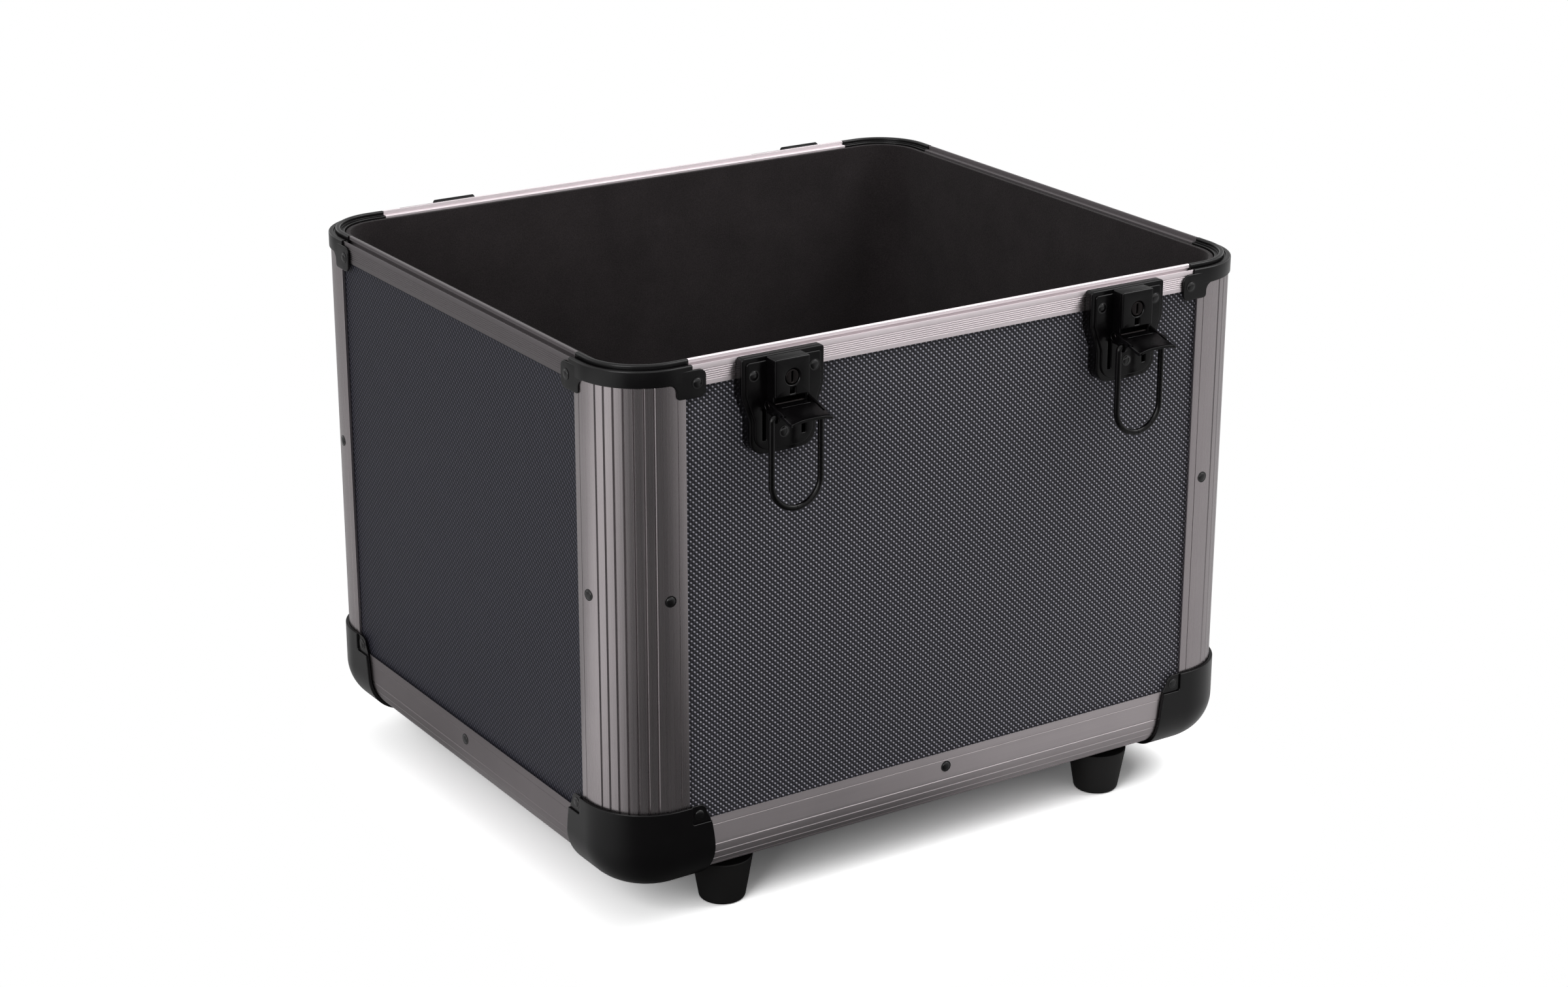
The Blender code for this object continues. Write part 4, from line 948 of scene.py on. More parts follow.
class CASE_OT_rims(bpy.types.Operator):
    """Top rims with their ridges, groove and tongue, and rounded bottom edges"""

    bl_idname = "record_case.rims"
    bl_label = "Rims and bottom edges"

    def execute(self, context):
        case = context.scene.case_sizes
        bars = context.scene.extrusion_sizes
        corners = context.scene.corner_sizes
        colours = context.scene.finishes
        rim = rim_section(case, bars)
        edge = edge_section(case, bars)
        for index, name in enumerate(SIDES):
            size = case.depth if index % 2 else case.width
            along = 1 if index % 2 else 0
            # The sides take darker copies of the rim and edge finishes: painted shade, since those walls
            # catch less light.
            way = ("across", "in depth")[along]
            rim_tint = (colours.rim, colours.side_rim)[along]
            edge_tint = (colours.upright, colours.side_edge)[along]
            for kind, outline, start, finish in (
                ("top_rim", rim, case.radius + corners.cap_leg + case.gap,
                 anodised("Bright anodised aluminium, " + way, rim_tint, along, 0.42, 0.9)),
                ("bottom_edge", edge, bars.edge_reach + case.gap,
                 anodised("Satin anodised aluminium, " + way, edge_tint, along, 0.4, 0.85)),
            ):
                run = size - 2 * start
                place = side_place(index, case) @ ACROSS @ Matrix.Translation((0.0, 0.0, -run / 2))
                shape = bar(outline, run, finish)
                node = kind + "_" + name
                put("extruded_" + node, node, [shape], place, finish, "case")
        return {"FINISHED"}


class CASE_OT_panels(bpy.types.Operator):
    """Laminated wall panels and the floor board"""

    bl_idname = "record_case.panels"
    bl_label = "Panels"

    def execute(self, context):
        colours = context.scene.finishes
        # The front, back and floor take pale dots, partly painted highlight; the sides take the same
        # laminate with a darker ground and dimmer dots drawn out to strokes, painted as shade where light
        # grazes.
        lit = (colours.board, colours.dot, (0.26, 0.165))
        painted_shade_copy = (colours.side_board, colours.side_dot, (0.44, 0.26))
        for node, across, (board, dot, size) in (
            ("panel_front", ("X", 1), lit), ("panel_back", ("X", -1), lit), ("floor_board", ("X", 1), lit),
            ("panel_right", ("Y", 1), painted_shade_copy), ("panel_left", ("Y", -1), painted_shade_copy),
        ):
            finish = laminate("Dotted laminate, " + node.replace("_", " "), board, dot, across, size)
            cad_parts[node].material_slots[0].material = finish
        return {"FINISHED"}


class CASE_OT_linings(bpy.types.Operator):
    """Felt linings of the walls and the floor"""

    bl_idname = "record_case.linings"
    bl_label = "Linings"

    def execute(self, context):
        case = context.scene.case_sizes
        bars = context.scene.extrusion_sizes
        finish = felted("Pressed black felt", context.scene.finishes.felt)
        wall = case.wall + case.gap
        thick = 2.5 * MM
        top = case.shoulder - 0.8 * MM
        base = case.ground
        radius = bars.edge_radius
        centre = (-radius, base + radius)
        end = radius + thick
        soft = 0.8 * MM
        section = [
            (-wall, top - soft), (-wall, base + radius + MM),
            *arc(centre, radius - wall, 0.0, -QUARTER, 14), (-end, base + wall),
            (-end, base + wall + thick), *arc(centre, radius - wall - thick, -QUARTER, 0.0, 14),
            (-wall - thick, top - soft), (-wall - thick + soft / 3, top - soft / 3),
            (-wall - thick / 2, top), (-wall - soft / 3, top - soft / 3),
        ]
        rings = []
        half_x = case.width / 2
        half_y = case.depth / 2
        middles = [
            (x * (half_x - case.radius), y * (half_y - case.radius) + CENTRE_Y)
            for x, y in ((1, 1), (-1, 1), (-1, -1), (1, -1))
        ]
        for index, (x, y) in enumerate(middles):
            for step in range(17):
                turn = index * QUARTER + QUARTER * step / 16
                way = (math.cos(turn), math.sin(turn))
                plan = [(case.radius + out, z) for out, z in section]
                rings.append([(x + away * way[0], y + away * way[1], z) for away, z in plan])
        shape = loft(rings, closed=True)
        put("felt_wall_lining", "wall_lining", [shape], Matrix(), finish, "case")
        edge = end + case.gap
        corner = case.radius - edge
        outline = []
        for index, middle in enumerate(middles):
            outline.extend(arc(middle, corner, index * QUARTER, (index + 1) * QUARTER, 12))
        shape = sheet([outline], base + wall, base + wall + thick, soft)
        put("felt_floor_lining", "floor_lining", [shape], Matrix(), finish, "case")
        return {"FINISHED"}


class CASE_OT_top_corners(bpy.types.Operator):
    """Moulded top corners with their riveted tabs"""

    bl_idname = "record_case.top_corners"
    bl_label = "Top corners"

    def execute(self, context):
        case = context.scene.case_sizes
        bars = context.scene.extrusion_sizes
        sizes = context.scene.corner_sizes
        radius = case.radius
        proud = sizes.cap_proud
        wall = case.wall
        inner = case.inner
        top = case.shoulder
        high = top + bars.rise
        bottom = top - bars.post_drop + case.gap
        channel = top - bars.rim_height + bars.channel
        middle = bars.lip + bars.groove + bars.tongue / 2
        out = middle - sizes.ridge / 2
        back = middle + sizes.ridge / 2
        valley = top - 0.9 * MM
        bead = top + 0.2 * MM
        points = [
            (-case.skin, bottom), (-case.skin, channel), (-inner, channel), (-inner, bottom),
            (-wall, bottom), (-wall, top), (-back, top), (-back, high), (-out, high), (-out, valley),
            (-out + 0.9 * MM, valley), (-out + 1.2 * MM, bead), (proud, bead), (proud, bottom),
        ]
        radii = [0, 0, 0, 0, 0.3, 0.4, 0.2, 0.8, 0.8, 0.3, 0.3, 0.35, 0.7, 0.35]
        section = rounded(points, [r * MM for r in radii])
        end = run_of(radius, radius + sizes.cap_leg)
        half = radius * math.pi / 4
        runs = [-end, -end + 0.01 * MM, *[half * (2 * i / 40 - 1) for i in range(41)], end - 0.01 * MM, end]
        rings = [[round_corner(radius, s, o, z) for o, z in section] for s in runs]
        band = loft(rings)
        tab_end = run_of(radius, radius + sizes.tab_length)
        tab_low = top - sizes.tab_drop
        tab_top = top - 2.0 * MM
        fillet = 4.0 * MM
        tab_start = run_of(radius, radius)
        curve = arc((tab_start - fillet, bottom - fillet), fillet, QUARTER, 0.0, 8)
        free = [(tab_start, tab_low), (tab_end, tab_low), (tab_end, tab_top)]
        tab = [(tab_start - fillet, tab_top), *curve, *free]
        outline = rounded(tab, [0.0] * (len(tab) - 3) + [1.8 * MM, 3.5 * MM, 3.5 * MM], 8)
        one = sheet([outline], case.gap, sizes.tab_proud, 0.4 * MM)

        def wrap(x, y, z):
            """Place of a point of the tab, which rises softly out of the moulding."""
            share = max(0.0, min(1.0, (x - tab_start + fillet) / (tab_end - tab_start)))
            sunk = (sizes.tab_proud - proud + 0.2 * MM) * (1 - share * share * (3 - 2 * share))
            return round_corner(radius, x, z - sunk * z / sizes.tab_proud, y)

        one = bent(one, wrap, MM, 40.0 * MM)
        other = copied(one, OTHER_SIDE)
        finish = mould_finish(context)
        for index, name in enumerate(CORNERS):
            node = "top_corner_" + name
            place = corner_place(index, case)
            put("moulded_" + node, node, (band, one, other), place, finish, "case")
        return {"FINISHED"}


class CASE_OT_bottom_corners(bpy.types.Operator):
    """Moulded ball corners at the bottom, with their riveted ears"""

    bl_idname = "record_case.bottom_corners"
    bl_label = "Bottom corners"

    def execute(self, context):
        case = context.scene.case_sizes
        bars = context.scene.extrusion_sizes
        sizes = context.scene.corner_sizes
        radius = case.radius
        curl = bars.edge_radius
        base = case.ground
        edge_top = base + bars.edge_reach
        ball_top = edge_top + sizes.ball_top
        straight = ball_top - base - curl
        whole = straight + curl * QUARTER + sizes.ball_under
        post = radius + bars.flange
        wing = post + sizes.wing
        ear = post + sizes.ear
        under = base - sizes.ball_proud

        def down(y, out):
            """Stand and height of a point that lies -y down the ball's skin."""
            fall = -y
            if fall <= straight:
                return out, ball_top - fall
            if fall <= straight + curl * QUARTER:
                turn = (fall - straight) / curl
                return -curl + (curl + out) * math.cos(turn), base + curl - (curl + out) * math.sin(turn)
            return -curl - (fall - straight - curl * QUARTER), base - out

        def wrap(x, y, z):
            """Place of a point of the flat pattern."""
            stand, height = down(y, z)
            return round_corner(radius, x, stand, height)

        ear_low = edge_top + 0.3 * MM
        right = []
        for index in range(33):
            y = -whole + (whole - (ball_top - ear_low)) * index / 32
            height = down(y, 0.0)[1]
            share = max(0.0, min(1.0, (height - under) / (ear_low - under)))
            right.append((run_of(radius, wing + sizes.wing_bow * math.sin(math.pi * share)), y))
        corner = 4.0 * MM
        ear_end = run_of(radius, ear)
        tip = arc((ear_end - corner, -corner), corner, 0.0, QUARTER, 8)
        full = right + tip
        full = full + mirrored(full)
        seat_low = edge_top - MM - ball_top
        seat_left = run_of(radius, post + 0.5 * MM)
        seat = rounded(
            [(right[-1][0] + 5 * MM, seat_low), (seat_left, seat_low), (seat_left, 5 * MM)],
            [0.0, 1.2 * MM, 0.0],
        )
        below = [point for point in right if point[1] < seat_low - 0.3 * MM]
        upper = [*below, (below[-1][0], seat_low), *seat[1:-1], (seat_left, 0.0)]
        upper = upper + mirrored(upper)
        sunk = sizes.ball_proud - sizes.ear_depth
        lower_sheet = bent(sheet([full], case.gap, sunk, 0.3 * MM), wrap, 1.6 * MM, 1.6 * MM)
        upper_sheet = bent(
            sheet([upper], sunk - 0.15 * MM, sizes.ball_proud, 0.35 * MM, 5), wrap, 1.6 * MM, 1.6 * MM
        )
        finish = mould_finish(context)
        for index, name in enumerate(CORNERS):
            node = "bottom_corner_" + name
            place = corner_place(index, case)
            put("moulded_" + node, node, (lower_sheet, upper_sheet), place, finish, "case")
        return {"FINISHED"}


class CASE_OT_feet(bpy.types.Operator):
    """Turned rubber feet"""

    bl_idname = "record_case.feet"
    bl_label = "Feet"

    def execute(self, context):
        case = context.scene.case_sizes
        sizes = context.scene.corner_sizes
        top = case.ground - case.gap
        slope = math.atan2(sizes.foot_top - sizes.foot_bottom, top)
        soft = 2.2 * MM
        bore = 4.5 * MM
        profile = [(0.0, top), (sizes.foot_top - 0.4 * MM, top), (sizes.foot_top, top - 0.4 * MM)]
        profile.extend(arc((sizes.foot_bottom - soft, soft), soft, -slope, -QUARTER, 8))
        profile.extend([(bore + 0.3 * MM, 0.0), (bore, 0.3 * MM), (bore, 6 * MM), (0.0, 6 * MM)])
        foot = lathe(profile)
        finish = moulded("Matt black rubber", context.scene.finishes.rubber, 0.62, 0.3, 0.6)
        for row, y in (("front", -1), ("back", 1)):
            for column, x in (("left", -1), ("right", 1)):
                node = "foot_" + row + "_" + column
                middle = (x * sizes.foot_span / 2, y * sizes.foot_depth / 2 + CENTRE_Y, 0.0)
                place = Matrix.Translation(middle)
                put("turned_" + node, node, [foot], place, finish, "case")
        return {"FINISHED"}


# The bail's pivot in the ears of its lever, as (y, z) from the lever's pin
EYE = (-6.9 * MM, -3.4 * MM)


def latch_place(context, sign):
    """Matrix of a latch: x from its middle, y inward from the front face."""
    shift = Matrix.Translation((sign * context.scene.latch_sizes.spacing / 2, 0.0, 0.0))
    return side_place(0, context.scene.case_sizes) @ shift


def hinge_place(context, sign):
    """Matrix of a hinge: x from its middle, y inward from the back face."""
    shift = Matrix.Translation((sign * context.scene.latch_sizes.hinge_span / 2, 0.0, 0.0))
    return side_place(2, context.scene.case_sizes) @ shift


def plate_outline(case, sizes, inset_by):
    """Face view of a latch plate: wide above, stepped in to a rounded foot."""
    top = case.shoulder - inset_by
    wide = sizes.plate_half - inset_by
    narrow = sizes.plate_low - inset_by
    bottom = case.shoulder - sizes.plate_height + inset_by
    upper = case.shoulder - 18.0 * MM
    lower = case.shoulder - 30.0 * MM
    step = (upper - lower) / 2
    half = [
        (0.0, bottom - MM), (narrow / 2, bottom - 0.8 * MM), (narrow, bottom), (narrow, lower),
        ((wide + narrow) / 2, (upper + lower) / 2), (wide, upper), (wide, top),
    ]
    radii = [0.0, 0.0, 7.5 * MM, step, 0.0, step, 1.5 * MM, 0.0]
    right = rounded([*half, (0.0, top)], radii, 10)
    return right[:-1] + mirrored(right[1:-1])


def rectangle(low, high, soft):
    """A rectangle between two corners, with round corners."""
    points = [(low[0], low[1]), (high[0], low[1]), (high[0], high[1]), (low[0], high[1])]
    return rounded(points, [soft] * 4, 4)


class CASE_OT_latch_plates(bpy.types.Operator):
    """Pressed latch plates with their lock boxes"""

    bl_idname = "record_case.latch_plates"
    bl_label = "Latch plates"

    def execute(self, context):
        case = context.scene.case_sizes
        bars = context.scene.extrusion_sizes
        sizes = context.scene.latch_sizes
        top = case.shoulder
        stand = sizes.plate_stand
        rim_low = top - bars.rim_height - case.gap
        ear_in = sizes.box_half + 0.2 * MM
        ear_out = sizes.box_half + 2.3 * MM
        slot_low = top - 39.7 * MM
        slot_top = top - 24.6 * MM
        slots = [
            rectangle((left, slot_low), (right, slot_top), 0.3 * MM)
            for left, right in ((-ear_out, -ear_in), (ear_in, ear_out))
        ]
        flat = plate_outline(case, sizes, 0.0)
        border = plate_outline(case, sizes, 2.1 * MM)
        hollow = plate_outline(case, sizes, 1.2 * MM)
        cut = [(x, min(z, rim_low)) for x, z in flat]
        skirt = [point for index, point in enumerate(cut) if point != cut[index - 1]]
        box_top = top - 0.4 * MM
        box_low = top - sizes.box_drop
        cheek_low = top - sizes.cheek_drop
        half = sizes.box_half
        skin = 1.2 * MM
        ring = [
            (-half, cheek_low), (-half + skin, cheek_low), (-half + skin, box_top - skin),
            (half - skin, box_top - skin), (half - skin, cheek_low), (half, cheek_low),
            (half, box_top), (-half, box_top),
        ]
        hood = rounded(ring, [0, 0, 0, 0, 0, 0, 0.8 * MM, 0.8 * MM], 5)
        front = rectangle((-half, box_low), (half, box_top), 0.8 * MM)
        key = (0.0, top - sizes.key_drop)
        keyhole = arc(key, sizes.barrel + case.gap, 0.0, 2 * math.pi, 40)[:-1]
        ledge = arc(key, sizes.barrel + 1.1 * MM, 0.0, 2 * math.pi, 40)[:-1]
        notch_middle = top - 15.9 * MM
        reach = 1.5 * MM
        notch = rectangle((-1.3 * MM, notch_middle - reach), (1.3 * MM, notch_middle + reach), 0.25 * MM)
        box = sizes.box_stand
        # Each sheet's outlines, the stands of its two faces, and its rounding with the steps of that
        shapes = [
            moved(sheet(loops, low, high, edge, steps), OFF_THE_FACE)
            for loops, low, high, edge, steps in (
                ([flat, *slots], stand - 2.4 * MM, stand - 0.9 * MM, 0.6 * MM, 4),
                ([border, *slots], stand - 1.4 * MM, stand, 0.5 * MM, 4),
                ([flat, hollow], case.gap, stand - 2.0 * MM, 0.0, 1),
                ([skirt], -1.5 * MM, case.gap, 0.0, 1),
                ([hood], stand - 0.6 * MM, box - 1.6 * MM, 0.5 * MM, 4),
                ([front, keyhole, notch], box - 1.9 * MM, box, 0.75 * MM, 5),
                ([ledge, keyhole], box - 2.5 * MM, box - 1.0 * MM, 0.1 * MM, 4),
            )
        ]
        finish = latch_finish(context)
        for name, sign in PAIR:
            node = "latch_plate_" + name
            put("pressed_" + node, node, shapes, latch_place(context, sign), finish, "case")
        return {"FINISHED"}


class CASE_OT_levers(bpy.types.Operator):
    """Finger levers, their pins and the lock barrels"""

    bl_idname = "record_case.levers"
    bl_label = "Levers, pins and barrels"

    def execute(self, context):
        case = context.scene.case_sizes
        sizes = context.scene.latch_sizes
        inner = sizes.box_half + 0.6 * MM
        outer = inner + 1.3 * MM
        tip = sizes.pivot_stand - sizes.reach
        thick = 1.4 * MM
        over = 0.6 * MM
        boss = arc((0.0, 0.0), 2.5 * MM, QUARTER, -QUARTER, 16)
        foot = arc(EYE, 2.7 * MM, -QUARTER / 2, -math.pi, 16)
        dip = (EYE[0] / 2, -3.7 * MM)
        side = [
            *boss, dip, *foot, (tip / 2 - 3.4 * MM, -0.9 * MM), (tip / 2, 0.2 * MM), (-8.0 * MM, 0.5 * MM),
        ]
        pin_hole = arc((0.0, 0.0), 1.8 * MM, 0.0, 2 * math.pi, 24)[:-1]
        eye_hole = arc(EYE, sizes.wire + case.gap, 0.0, 2 * math.pi, 24)[:-1]
        cheek = sheet([side, pin_hole, eye_hole], 0.0, outer - inner, 0.25 * MM, 3)
        shapes = [
            copied(cheek, ACROSS @ Matrix.Translation((0.0, 0.0, inner))),
            moved(cheek, ACROSS @ Matrix.Translation((0.0, 0.0, -inner)) @ Matrix.Diagonal((1, 1, -1, 1))),
        ]
        back = -5.4 * MM
        waist = outer - 1.3 * MM
        plan = [
            (waist, back), (-waist, back), (-outer, back - 5.5 * MM), (-outer, tip), (outer, tip),
            (outer, back - 5.5 * MM),
        ]
        plan = rounded(plan, [0.3 * MM, 0.3 * MM, 3 * MM, 1.2 * MM, 1.2 * MM, 3 * MM])
        tongue = sheet([plan], over - thick, over, 0.35 * MM)

        def press(x, y, z):
            """Dish the tongue down to its tip, whose edge turns up a little, and crown it across."""
            share = max(0.0, min(1.0, (back - y) / (back - tip)))
            fall = 2.4 * MM * share * share * (3 - 2 * share)
            lip = 0.5 * MM * max(0.0, (share - 0.86) / 0.14) ** 2
            crown = 1.5 * MM * abs(x / outer) ** 3 * share
            return Vector((x, y, z - fall + lip - crown))

        shapes.append(bent(tongue, press, 1.5 * MM, 1.2 * MM))
        neck_half = sizes.box_half - 1.5 * MM
        neck = rectangle((-neck_half, back - thick), (neck_half, -1.5 * MM), 0.2 * MM)
        shapes.append(sheet([neck], over - thick, over, 0.2 * MM))
        pivot = Matrix.Translation((0.0, -sizes.pivot_stand, case.shoulder - sizes.pivot_drop))
        latch = latch_finish(context)
        steel = steel_finish(context)
        pin_half = outer - 0.3 * MM
        pin_radius = 1.5 * MM
        dome = 0.3 * MM
        pin = lathe([
            (0.0, -pin_half), (pin_radius - dome, -pin_half), (pin_radius, dome - pin_half),
            (pin_radius, pin_half - dome), (pin_radius - dome, pin_half), (0.0, pin_half),
        ], 32)
        moved(pin, Matrix.Rotation(QUARTER, 4, "Y"))
        for name, sign in PAIR:
            place = latch_place(context, sign) @ pivot
            lever = "latch_lever_" + name
            put("pressed_" + lever, lever, shapes, place, latch, "lever_" + name)
            rod = "lever_pin_" + name
            put("turned_" + rod, rod, [pin], place, steel, "case")
        radius = sizes.barrel
        front = sizes.box_stand - 0.4 * MM
        disc = arc((0.0, 0.0), radius, 0.0, 2 * math.pi, 40)[:-1]
        slot = rectangle((-0.45 * MM, -radius * 0.72), (0.45 * MM, radius * 0.72), 0.3 * MM)
        face = sheet([disc, slot], front - 3.0 * MM, front, 0.35 * MM)
        core = sheet([disc], sizes.plate_stand + 0.6 * MM, front - 2.9 * MM, 0.0, 1)
        key = Matrix.Translation((0.0, 0.0, case.shoulder - sizes.key_drop)) @ OFF_THE_FACE
        for name, sign in PAIR:
            node = "lock_barrel_" + name
            place = latch_place(context, sign) @ key
            put("turned_" + node, node, (face, core), place, steel, "lock_" + name)
        return {"FINISHED"}


class CASE_OT_bails(bpy.types.Operator):
    """Wire bails, with the butt seam at the foot of each loop"""

    bl_idname = "record_case.bails"
    bl_label = "Bails"

    def execute(self, context):
        case = context.scene.case_sizes
        sizes = context.scene.latch_sizes
        start = sizes.box_half + 0.4 * MM
        bend = 1.9 * MM
        half = sizes.box_half + bend + 0.5 * MM + sizes.wire
        drop = sizes.loop
        turn = arc((half - bend, -bend), bend, QUARTER, 0.0, 8)
        loop = arc((0.0, half - drop), half, 0.0, -QUARTER, 24)
        right = [(start, 0.0), *turn, *loop]
        flat = right[:-1] + mirrored(right)
        line = [Vector((x, 0.0, z)) for x, z in flat]
        around = [2 * math.pi * step / 20 for step in range(20)]
        rings = []
        total = len(line)
        for index, point in enumerate(line):
            tangent = (line[min(index + 1, total - 1)] - line[max(index - 1, 0)]).normalized()
            up = Vector((0.0, 1.0, 0.0))
            side = tangent.cross(up)
            seam = ((-1, 1.0), (0, 0.82), (1, 1.0)) if index == total // 2 else ((0, 1.0),)
            for number, share in seam:
                middle = point + tangent * number * 0.12 * MM
                radius = sizes.wire * share
                rings.append([middle + (side * math.cos(a) + up * math.sin(a)) * radius for a in around])
        shape = loft(rings)
        pivot = (0.0, -sizes.pivot_stand + EYE[0], case.shoulder - sizes.pivot_drop + EYE[1])
        finish = latch_finish(context)
        for name, sign in PAIR:
            node = "latch_bail_" + name
            place = latch_place(context, sign) @ Matrix.Translation(pivot)
            put("wire_" + node, node, [shape], place, finish, "bail_" + name)
        return {"FINISHED"}


class CASE_OT_hinges(bpy.types.Operator):
    """The case's halves of the lift-off hinges"""

    bl_idname = "record_case.hinges"
    bl_label = "Hinges"

    def execute(self, context):
        case = context.scene.case_sizes
        bars = context.scene.extrusion_sizes
        sizes = context.scene.latch_sizes
        top = case.shoulder - 1.6 * MM
        low = top - sizes.hinge_height
        seat = -case.gap
        deep = case.skin
        leaf = 1.5 * MM
        knuckle = 3.2 * MM
        step_top = case.shoulder - bars.rim_height - case.gap
        step_low = step_top - (deep - seat)
        centre = (seat - case.gap - knuckle, top - case.gap)
        side = [
            (deep, low), (deep, step_low), (seat, step_top), (seat, top + 0.6 * MM),
            (seat - leaf, top + 0.6 * MM), (seat - leaf, step_top - leaf),
            (deep - leaf, step_low - leaf / 2), (deep - leaf, low),
        ]
        side = rounded(side, [0.3 * MM, 0.5 * MM, 0.5 * MM, 0.3 * MM, 0.3 * MM, MM, MM, 0.3 * MM], 4)
        half = sizes.hinge_width / 2
        shapes = [moved(sheet([side], -half, half, 0.3 * MM), ACROSS)]
        ring = arc(centre, knuckle, 0.0, 2 * math.pi, 40)[:-1]
        bore = arc(centre, 2.1 * MM, 0.0, 2 * math.pi, 32)[:-1]
        shapes.append(moved(sheet([ring, bore], -half, case.gap, 0.25 * MM), ACROSS))
        rod = arc(centre, 1.8 * MM, 0.0, 2 * math.pi, 32)[:-1]
        pin = moved(sheet([rod], -half, half - 0.8 * MM, 0.7 * MM), ACROSS)
        for name, sign in (("left", 1), ("right", -1)):
            place = hinge_place(context, sign)
            folded = "hinge_leaf_" + name
            put("folded_" + folded, folded, shapes, place, latch_finish(context), "case")
            turned = "hinge_pin_" + name
            put("turned_" + turned, turned, [pin], place, steel_finish(context), "case")
        return {"FINISHED"}


class CASE_OT_rivets(bpy.types.Operator):
    """Domed rivets of the corners, posts, bottom edges, latches and hinges"""

    bl_idname = "record_case.rivets"
    bl_label = "Rivets"

    def execute(self, context):
        case = context.scene.case_sizes
        bars = context.scene.extrusion_sizes
        corners = context.scene.corner_sizes
        sizes = context.scene.latch_sizes
        radius = case.radius
        heads = []
        edge_top = case.ground + bars.edge_reach

        def on_corner(place, u, stand, z):
            """A rivet at both faces of a corner."""
            s = run_of(radius, u)
            if u < radius:
                s = radius * math.pi / 4 - radius * math.asin((radius - u) / radius)
            for sign in (-1, 1):
                root = round_corner(radius, sign * s, stand, z)
                tip = round_corner(radius, sign * s, stand + MM, z)
                heads.append((place @ root, (place @ tip - place @ root), 1.0))

        def on_face(place, x, stand, z, share):
            """A rivet on a side, whose head is a share of the usual one."""
            root = place @ Vector((x, -stand, z))
            heads.append((root, place @ Vector((x, -stand - MM, z)) - root, share))

        # Rivets of a tab, a post and an ear: way from the sharp corner, stand and height
        at_corner = (
            (radius + 10.3 * MM, corners.tab_proud, case.shoulder - 8.1 * MM),
            (radius - 3.9 * MM, 0.0, 169.8 * MM),
            (radius + bars.flange + 4.6 * MM, corners.ball_proud - corners.ear_depth, edge_top + 3.6 * MM),
        )
        # Rivets of a latch and a hinge: way from its middle, and drop from the shoulder
        at_latch = ((-16.2, 8.3), (16.2, 8.3), (0.0, 37.2))
        at_hinge = ((-15.0, 26.3), (0.0, 30.3), (15.0, 26.3))
        for index in range(4):
            for rivet in at_corner:
                on_corner(corner_place(index, case), *rivet)
        for index in range(4):
            on_face(side_place(index, case), 0.0, 0.0, edge_top - 7.7 * MM, 1.0)
        for sign in (-1, 1):
            for x, drop in at_latch:
                place = latch_place(context, sign)
                on_face(place, x * MM, sizes.plate_stand, case.shoulder - drop * MM, 1.0)
            for x, drop in at_hinge:
                on_face(hinge_place(context, sign), x * MM, 0.0, case.shoulder - drop * MM, 0.85)
        points = bpy.data.meshes.new("rivet_points")
        points.from_pydata([head[0] for head in heads], [], [])
        points.attributes.new("facing", "FLOAT_VECTOR", "POINT")
        points.attributes.new("radius", "FLOAT", "POINT")
        for index, (_, way, share) in enumerate(heads):
            points.attributes["facing"].data[index].vector = way.normalized()
            points.attributes["radius"].data[index].value = sizes.rivet * share
        finish = enamelled("Polished black rivets", context.scene.finishes.enamel, 1.5)
        mesh = baked(points, kept_tree("Rivet heads", rivet_tree), {"Finish": finish})
        add_piece("domed_rivets", mesh, finish, "case")
        return {"FINISHED"}


